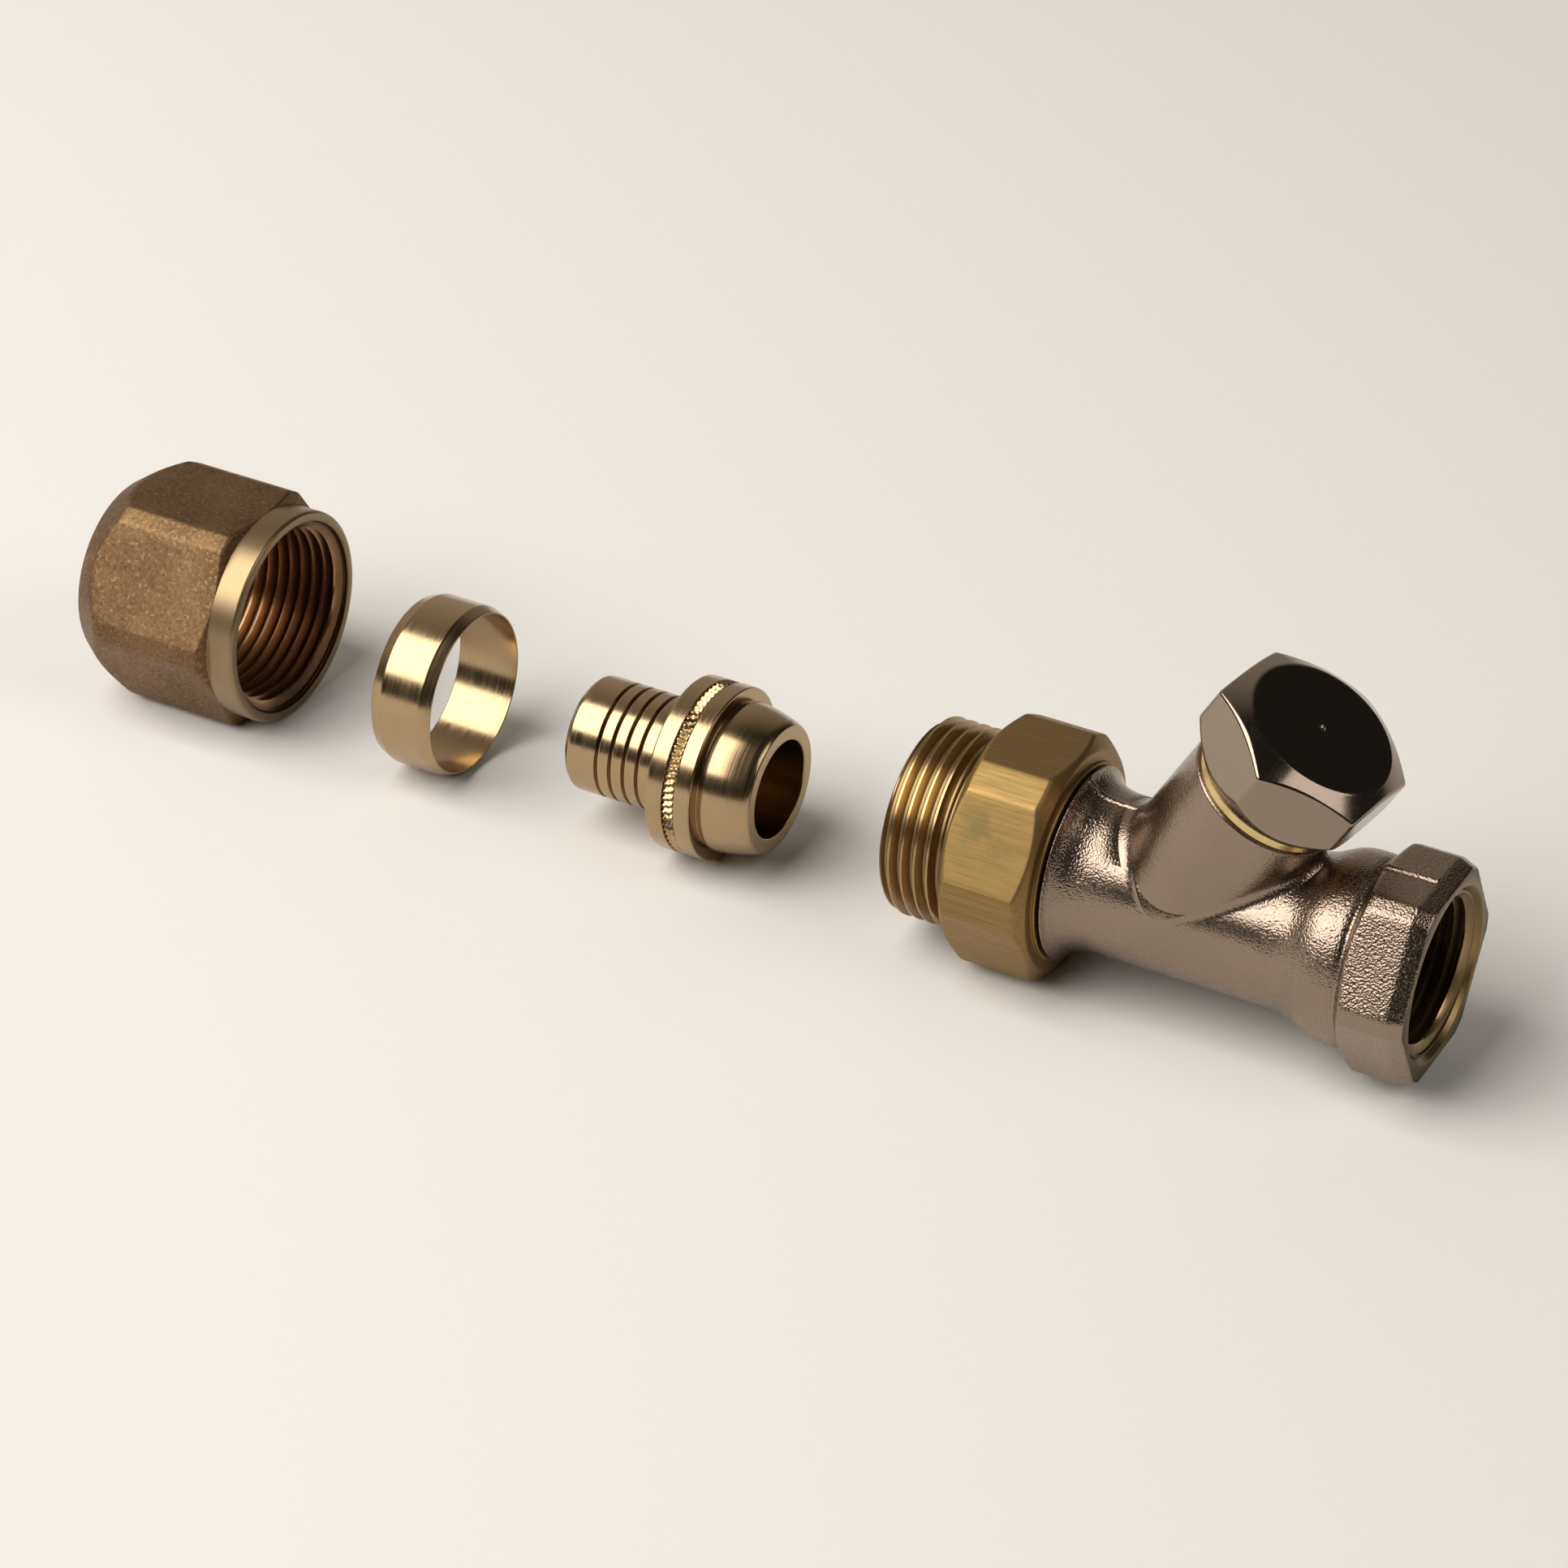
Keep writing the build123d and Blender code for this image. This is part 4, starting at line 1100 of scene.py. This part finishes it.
class VALVE_OT_stage(bpy.types.Operator):
    """Make the floor, the studio light and the camera"""

    bl_idname = "valve.stage"
    bl_label = "Stage"

    def execute(self, context):
        colours = context.scene.valve_finishes
        light = context.scene.valve_stage
        floor_mesh = bpy.data.meshes.new("floor")
        reach = 4.0
        corners = [(-reach, -reach, 0), (reach, -reach, 0), (reach, reach, 0), (-reach, reach, 0)]
        floor_mesh.from_pydata(corners, [], [(0, 1, 2, 3)])
        floor = bpy.data.objects.new("floor", floor_mesh)
        context.scene.collection.objects.link(floor)
        paper, tree, shader, spot = blank("pale_paper_floor", Roughness=0.85)
        fibres = add(tree, NOISE, {"Vector": spot, "Scale": 1 / (2.0 * MM), "Detail": 3.0})
        dull, pale = rgba(colours.floor, 0.985), rgba(colours.floor)
        tint = add(tree, MIX, {0: fibres, 6: dull, 7: pale}, data_type="RGBA")
        tree.links.new(tint.outputs[2], shader.inputs["Base Color"])
        floor_mesh.materials.append(paper)

        world = bpy.data.worlds.new("studio")
        world.use_nodes = True
        room = world.node_tree
        room.nodes.clear()
        way = add(room, "ShaderNodeTexCoord").outputs["Generated"]
        pale_side = (-0.72, 0.62, 0.3)
        facing = add(room, VECTOR, [way, pale_side], operation="DOT_PRODUCT").outputs["Value"]
        share = add(room, RANGE, [facing, 0.5, 0.95])
        dark, pale = rgba(colours.dark_room), rgba(colours.walls)
        tint = add(room, MIX, {0: share, 6: dark, 7: pale}, data_type="RGBA")
        sky = add(room, "ShaderNodeBackground", [tint.outputs[2], light.sky])
        add(room, "ShaderNodeOutputWorld", [sky])
        context.scene.world = world

        def softbox(name, centre, aim, width, depth, radiance):
            lamp = bpy.data.lights.new(name, "AREA")
            lamp.shape = "RECTANGLE"
            lamp.size, lamp.size_y = width, depth
            lamp.color = linear("FFFBF6")
            lamp.energy = radiance * width * depth * pi
            box = bpy.data.objects.new(name, lamp)
            context.scene.collection.objects.link(box)
            box.location = centre
            box.rotation_euler = (Vector(aim) - Vector(centre)).to_track_quat("-Z", "Y").to_euler()

        centre, aim = (-0.97, -0.70, 1.05), (-0.97, 0.18, -0.75)
        softbox("softbox_left", centre, aim, 1.86, 1.38, light.softbox)
        softbox("softbox_right", (1.5, 0.1, 1.2), (0, 0, 0), 1.2, 1.2, light.fill)

        # The camera as fitted to the photo: its angles, its lens and its place from the nipple
        turn, rise, roll = radians(28.28), radians(33.05), radians(1.05)
        focal, aside, lift, distant = 112.99, -17.91, 3.68, 633.91
        back = Vector((sin(turn) * cos(rise), -cos(turn) * cos(rise), sin(rise)))
        right = Vector((cos(turn), sin(turn), 0))
        up = back.cross(right)
        right_rolled = cos(roll) * right + sin(roll) * up
        up_rolled = -sin(roll) * right + cos(roll) * up
        lens = bpy.data.cameras.new("camera")
        lens.lens = focal
        lens.sensor_width = 36
        camera = bpy.data.objects.new("camera", lens)
        context.scene.collection.objects.link(camera)
        spot = (aside * right_rolled + lift * up_rolled + distant * back) * MM + NIPPLE[0]
        pose = Matrix((right_rolled, up_rolled, back)).transposed().to_4x4()
        camera.matrix_world = Matrix.Translation(spot) @ pose
        context.scene.camera = camera
        context.scene.view_settings.view_transform = "Standard"
        return {"FINISHED"}


class VALVE_PT_panel(bpy.types.Panel):
    """Lists the steps and the settings of the return valve"""

    bl_idname = "VALVE_PT_panel"
    bl_label = "Return Valve"
    bl_space_type = "VIEW_3D"
    bl_region_type = "UI"
    bl_category = "Return Valve"

    def draw(self, context):
        for step in STEPS:
            self.layout.operator(step.bl_idname)
        for name in ("valve_threads", "valve_trim", "valve_finishes", "valve_stage"):
            settings = getattr(context.scene, name)
            column = self.layout.column()
            for key in settings.bl_rna.properties.keys():
                if key not in ("rna_type", "name"):
                    column.prop(settings, key)


GROUPS = {
    "valve_threads": ThreadSizes,
    "valve_trim": TrimSizes,
    "valve_finishes": FinishColours,
    "valve_stage": StageSettings,
}
STEPS = (
    VALVE_OT_stage,
    VALVE_OT_nut,
    VALVE_OT_olive,
    VALVE_OT_tail,
    VALVE_OT_nipple,
    VALVE_OT_body,
    VALVE_OT_bonnet,
    VALVE_OT_inner,
)


def register():
    """Registers the settings, the operators and the panel."""
    for name, kind in GROUPS.items():
        bpy.utils.register_class(kind)
        setattr(bpy.types.Scene, name, PointerProperty(type=kind))
    for kind in (*STEPS, VALVE_PT_panel):
        bpy.utils.register_class(kind)


def unregister():
    """Takes them out again."""
    for kind in reversed((*STEPS, VALVE_PT_panel)):
        bpy.utils.unregister_class(kind)
    for name, kind in reversed(GROUPS.items()):
        delattr(bpy.types.Scene, name)
        bpy.utils.unregister_class(kind)


def main():
    """Runs every step in order."""
    register()
    for step in STEPS:
        area, name = step.bl_idname.split(".")
        getattr(getattr(bpy.ops, area), name)()
    bpy.context.view_layer.update()


if __name__ == "__main__":
    main()
